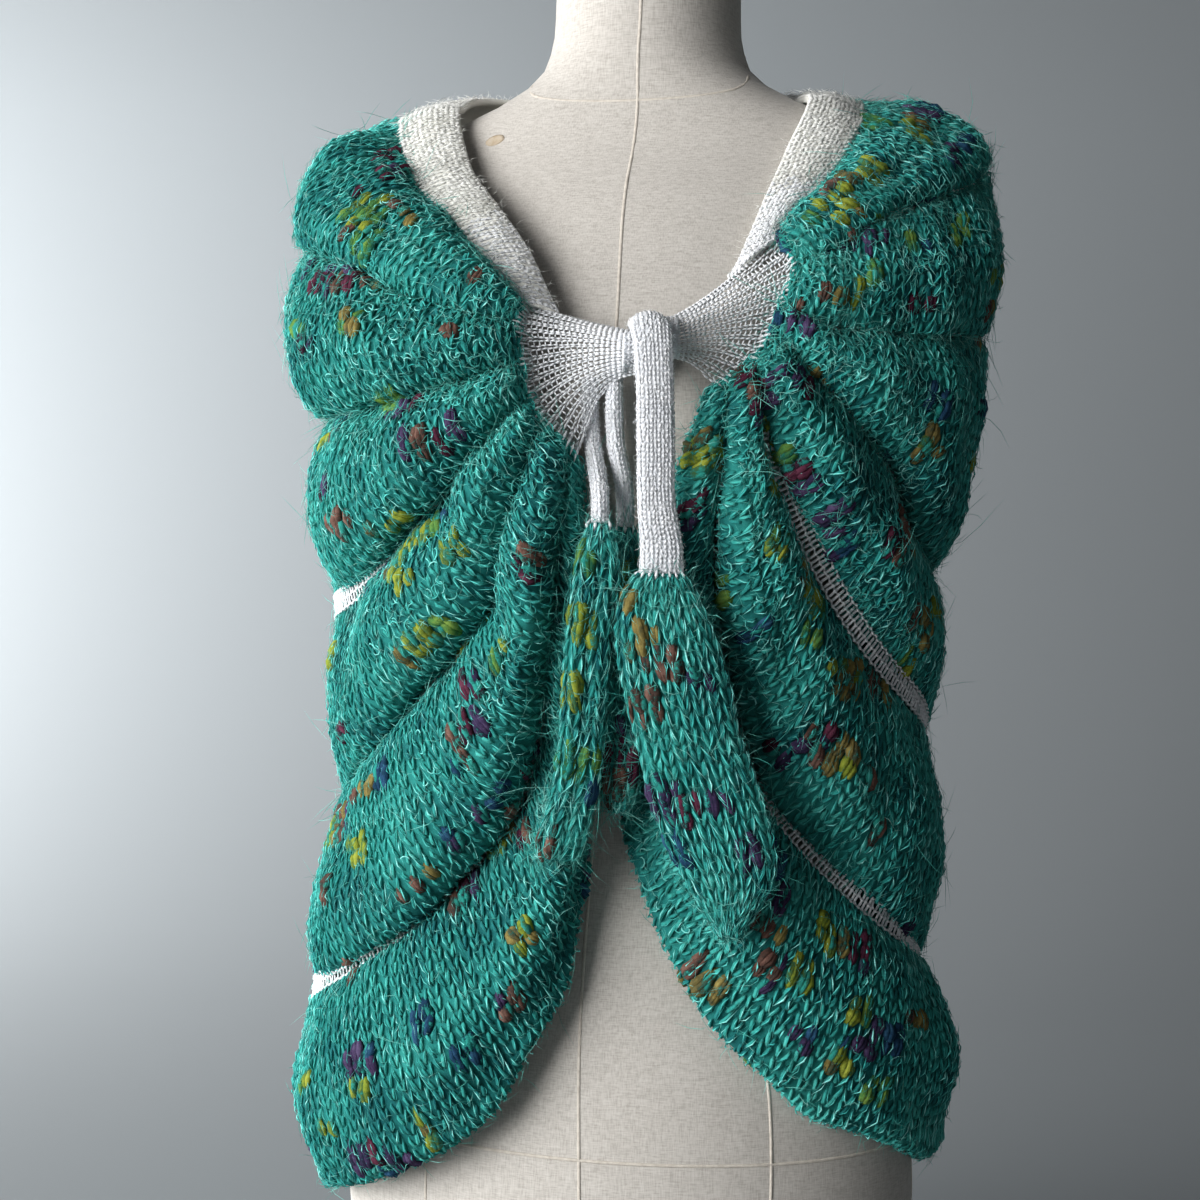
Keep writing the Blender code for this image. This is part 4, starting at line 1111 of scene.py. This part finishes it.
# Fine knitting of even threads that stays open where its columns spread. Where the columns crowd,
# every other one stops and its neighbour takes its place.
def fineKnit(name, cloth, places, look, material):
    side = cloth.read(cloth.points, places[:, 0] + places[:, 2] / 2, places[:, 1])
    other = cloth.read(cloth.points, places[:, 0] - places[:, 2] / 2, places[:, 1])
    width = np.linalg.norm(side - other, axis=1)
    skip = np.clip(np.ceil(np.log2(look["narrowest"] / np.maximum(width, 1e-6))), 0, 4).astype(int)
    kept = places[:, 4].astype(int) % (2**skip) == 0
    places, width = places[kept], width[kept] * 2.0 ** skip[kept]
    places[:, 2] *= 2.0 ** skip[kept]
    paths, ups = bothLegs(cloth, places, look["leg"], look["lift"], look["jitter"])
    bars, normals = legPaths(cloth, places, 1, look["bar"], look["lift"], look["barJitter"])
    barred = (width > look["barWidth"]) & (places[:, 4] < places[:, 4].max())
    paths, ups = np.concatenate([paths, bars[barred]]), np.concatenate([ups, normals[barred]])
    crowd = np.clip(2 - width / look["courseHeight"], 0, 1)
    size = look["radius"] + (look["crowded"] - look["radius"]) * np.concatenate([crowd, crowd])
    size = np.concatenate([size, np.full(barred.sum(), look["barRadius"])])
    size = (size * chance.uniform(0.85, 1.15, len(paths)))[:, None]
    return addSpindles(name, paths, size, size, ups, 3, [material])


def makeFan(name, node, station, end):
    look = fanLook
    inner = 1 if station == 0 else -1
    corners = [lines[0][station], panels[1].points[station, 0]]
    for number in range(1, panelCount):
        corners.append((panels[number].points[station, -1] + panels[number + 1].points[station, 0]) / 2)
    corners = np.array([*corners, lines[-1][station]])
    base = finer(lengthsAlong(corners), corners, look["ribs"])
    base = base - unit(lines[3][station] - lines[3][station + inner]) * look["under"]
    upward = unit(base[0] - base[-1])
    away = np.array([0.0, -1.0, 0.0])
    level = np.linspace(0, 1, look["ribs"])[:, None]
    top, foot = np.array([end["x"], end["y"], end["top"]]), np.array([end["x"], end["y"], end["foot"]])
    neck = top * mm * (1 - level) + foot * mm * level + away * look["bulge"] * np.sin(math.pi * level)
    neck[:, 0] += look["past"] * inner
    curved = level**2 * end["footCurve"] * mm - (1 - level) ** 2 * end["topCurve"] * mm
    columns = []
    for share in np.linspace(0, 1, look["rows"]):
        lift = math.sin(math.pi * share)
        columns.append(base * (1 - share) + neck * share - away * look["sag"] * lift + upward * curved * lift)
    cloth = Cloth(np.stack(columns[::inner], axis=1))
    places = stitchPlaces(cloth, look)
    piece = fineKnit(name, cloth, places, look, white)
    wales = np.unique(places[:, 0])
    wales = np.sort(np.concatenate([wales, (wales[1:] + wales[:-1]) / 2]))
    row = (0 if station == 0 else look["rows"] - 1) + inner * fanTeeth["start"]
    joint = teeth(name + "Joint", cloth, wales, row, row + inner, fanTeeth, white)
    claim(node, "white_yarn", piece, joint)
    flat = tuple(round(float(np.mean([lengthsAlong(line)[-1] for line in grid])), 3)
                 for grid in (cloth.points, cloth.points.transpose(1, 0, 2)))
    print(name, "cut", *flat)


makeFan("fanLeft", "fan_left", 0, fanEnds["left"])
makeFan("fanRight", "fan_right", -1, fanEnds["right"])
print("fans made")


# The crossing: the two fans' ends twisted round each other
crossingLook = {"twist": math.pi, "squeeze": 0.15, "flatness": 0.85, "sides": 40, "rings": 25,
                "fanThick": 2.4 * mm, "into": 1 * mm}


def makeCrossing():
    look, left, right = crossingLook, fanEnds["left"], fanEnds["right"]
    angles = turnsOf(look["sides"])
    halfTall = (left["top"] - left["foot"]) / 2 * mm - whiteTube["inset"]
    start, stop = (
        np.array([end["x"], end["y"], (end["top"] + end["foot"]) / 2]) * mm + [into, look["fanThick"] / 2, 0]
        for end, into in ((left, -look["into"]), (right, look["into"]))
    )
    loft = []
    for share in np.linspace(0, 1, look["rings"]):
        turn = look["twist"] * ease(share)
        waist = 1 - look["squeeze"] * math.sin(math.pi * share) ** 0.5
        tall = halfTall * np.sin(angles) * waist
        deep = halfTall * look["flatness"] * np.cos(angles) * waist
        x, y, z = start * (1 - share) + stop * share
        y = y + deep * math.cos(turn) - tall * math.sin(turn)
        z = z + deep * math.sin(turn) + tall * math.cos(turn)
        loft.append(np.stack([np.full(len(angles), x), y, z], axis=1))
    cloth = Cloth(np.stack(loft, axis=1), closed=True)
    claim("crossing", "white_yarn", addLoft("crossingCore", cloth, whiteBase))
    whiteCover("crossing", cloth)


makeCrossing()
print("crossing made")


# The teal tails of the ties. Their sections are height, left, right, y and thickness, and their slubs
# are x, z, radius and colour number, with lengths in millimetres.
tails = {
    "tailWide": {
        "node": "tail_wide", "groove": 0.0, "restsOn": ["panel4Cloth", "panel5Cloth"],
        "sections": [
            (528, -3, 23, -173, 9), (516, -11, 31, -172, 13), (498, -15, 39, -171, 16),
            (470, -11, 49, -168, 17), (440, -3, 56, -164, 17), (413, 4, 66, -160, 17),
            (380, 15, 77, -156, 16), (356, 27, 79, -155, 14),
            (336, 40, 68, -154, 11), (321, 50, 57, -154, 6),
        ],
        "slubs": [(-8, 515, 8, 3), (0, 490, 9, 3), (12, 478, 10, 4), (4, 455, 12, 4), (34, 470, 6, 6),
                  (44, 500, 6, 3), (18, 402, 12, 6), (28, 398, 9, 5), (46, 400, 8, 6), (66, 372, 10, 6),
                  (24, 372, 8, 7)],
    },
    "tailA": {
        "node": "tail_a", "groove": 0.55, "restsOn": ["panel5Cloth"],
        "sections": [
            (556, -31, -19, -169, 10), (530, -38, -14, -169, 13), (492, -42, -19, -166, 14),
            (456, -44, -20, -162, 14), (421, -46, -22, -157, 14), (392, -52, -26, -153, 14),
            (371, -57, -31, -151, 12), (363, -54, -36, -151, 8),
        ],
        "slubs": [(-36, 535, 8, 2), (-32, 500, 10, 1), (-42, 462, 8, 1), (-36, 420, 12, 2), (-30, 400, 6, 7),
                  (-54, 372, 9, 4)],
    },
    "tailB": {
        "node": "tail_b", "groove": 0.0, "restsOn": ["panel5Cloth"],
        "sections": [
            (555, -16, -5, -150.5, 9), (530, -19, -2, -150, 11), (490, -21, 0, -148, 12),
            (440, -22, 1, -144, 12), (405, -21, -1, -141, 11), (390, -16, -7, -140, 6),
        ],
        "slubs": [(-12, 530, 8, 1), (-12, 420, 13, 5), (-14, 404, 10, 4), (-8, 440, 8, 6)],
    },
}
tailLook = {"sides": 40, "rings": 60, "grooveWidth": 0.35, "inset": 0.8 * mm, "fuzzPerMetre": 5200}
tailKnit = {
    **tealKnit, "waleWidth": 8.6 * mm, "courseHeight": 9.6 * mm, "sides": 4,
    "legWide": 3.0 * mm, "legThick": 2.4 * mm, "lift": 0.8 * mm, "jitter": 0.06,
    "slubLift": 1.2 * mm, "slubThick": 3.6 * mm, "slubSpread": 0.18, "slubReach": (0.8, 1.3), "slubSides": 5,
    "strokeShare": 1.2, "strokeTurns": 2, "strokeBend": 0.4 * mm, "strokeRadius": 0.40 * mm,
}
tailTeeth = {"above": 0.6 * mm, "otherAbove": 0.0, "way": -1, "tilt": 0.0, "reach": 4.0 * mm,
             "rise": 1.2 * mm, "radius": 1.1 * mm, "row": 0.4, "other": 2.0}


def makeTail(name, tail):
    table = np.array(tail["sections"], float) * mm
    table = finer(np.arange(len(table)), table, tailLook["rings"])
    angles = turnsOf(tailLook["sides"])
    wide, deep = np.cos(angles), -np.sin(angles)
    dent = 1 - tail["groove"] * np.exp(-((wide / tailLook["grooveWidth"]) ** 2)) * (deep < 0)
    loft = []
    for height, left, right, y, thick in table:
        x = (left + right) / 2 + ((right - left) / 2 - tailLook["inset"]) * wide
        y = y + (thick / 2 - tailLook["inset"]) * deep * dent
        loft.append(np.stack([x, y, np.full(len(x), height)], axis=1))
    cloth = Cloth(np.stack(loft, axis=1), closed=True)
    # the tail's darker core is painted shade in the gaps between its stitches
    core = addLoft(name, cloth, teal["base"])
    places = stitchPlaces(cloth, tailKnit)
    where, _ = cloth.at(places[:, 0], places[:, 1])
    kinds = np.zeros(len(places), int)
    for x, z, radius, colour in tail["slubs"]:
        kinds[np.hypot(where[:, 0] - x * mm, where[:, 2] - z * mm) < radius * mm] = colour
    length = table[0, 0] - table[-1, 0]
    count = int(tailLook["fuzzPerMetre"] * length)
    parts = tealCover(name, cloth, places, kinds, tailKnit, count, count // 8)
    wales = np.unique(places[:, 0])
    joint = teeth(name + "Joint", cloth, wales, tailTeeth["row"], tailTeeth["other"], tailTeeth, white)
    claim(tail["node"], "teal_yarn", core, *parts)


for name, tail in tails.items():
    makeTail(name, tail)
print("tails made")


# Lights and floor
lighting = {
    "window": {"place": (-2.08, -1.36, 0.86), "aim": (0.0, 0.0, 0.42), "size": 2.1, "power": 142.0},
    "fill": {"place": (1.0, -2.2, 0.6), "aim": (0.0, 0.0, 0.45), "size": 1.6, "power": 2.4},
    "wall": {"place": (-2.8, 1.0, 0.62), "aim": (-1.95, 2.4, -0.1), "size": 1.8, "power": 325.0},
}
room = {"Color": (0.78, 0.84, 0.90, 1.0), "Strength": 0.07}
backdrop = {"halfWidth": 4.0, "wall": 2.6, "front": 4.0, "height": 4.0, "bend": 1.5, "bendSteps": 16,
            "colour": (0.200, 0.217, 0.227)}


def makeBackdrop():
    look = backdrop
    section = [(-look["front"], 0.0)]
    for turn in np.linspace(0, math.pi / 2, look["bendSteps"]):
        out, up = look["bend"] * (1 - math.sin(turn)), look["bend"] * (1 - math.cos(turn))
        section.append((look["wall"] - out, up))
    section.append((look["wall"], look["height"]))
    points = [(x, y, z) for y, z in section for x in (-look["halfWidth"], look["halfWidth"])]
    faces = [(2 * k, 2 * k + 1, 2 * k + 3, 2 * k + 2) for k in range(len(section) - 1)]
    mesh = bpy.data.meshes.new("backdrop")
    mesh.from_pydata(points, [], faces)
    mesh.shade_smooth()
    material, nodes, shader = newMaterial("paleFloor")
    setInputs(shader, {"Base Color": (*look["colour"], 1.0), "Roughness": 0.95})
    mesh.materials.append(material)
    addObject("backdrop", mesh)


def makeLights():
    for name, light in lighting.items():
        data = bpy.data.lights.new(name, "AREA")
        data.shape = "SQUARE"
        data.size = light["size"]
        data.energy = light["power"]
        lamp = addObject(name, data)
        x, y, z = np.subtract(light["aim"], light["place"])
        lamp.location = light["place"]
        lamp.rotation_euler = (math.atan2(math.hypot(x, y), -z), 0, math.atan2(y, x) - math.pi / 2)
    world = bpy.data.worlds.new("room")
    world.use_nodes = True
    setInputs(world.node_tree.nodes["Background"], room)
    bpy.context.scene.world = world
    bpy.context.scene.view_settings.view_transform = "Standard"


makeBackdrop()
makeLights()
print("floor and lights placed")
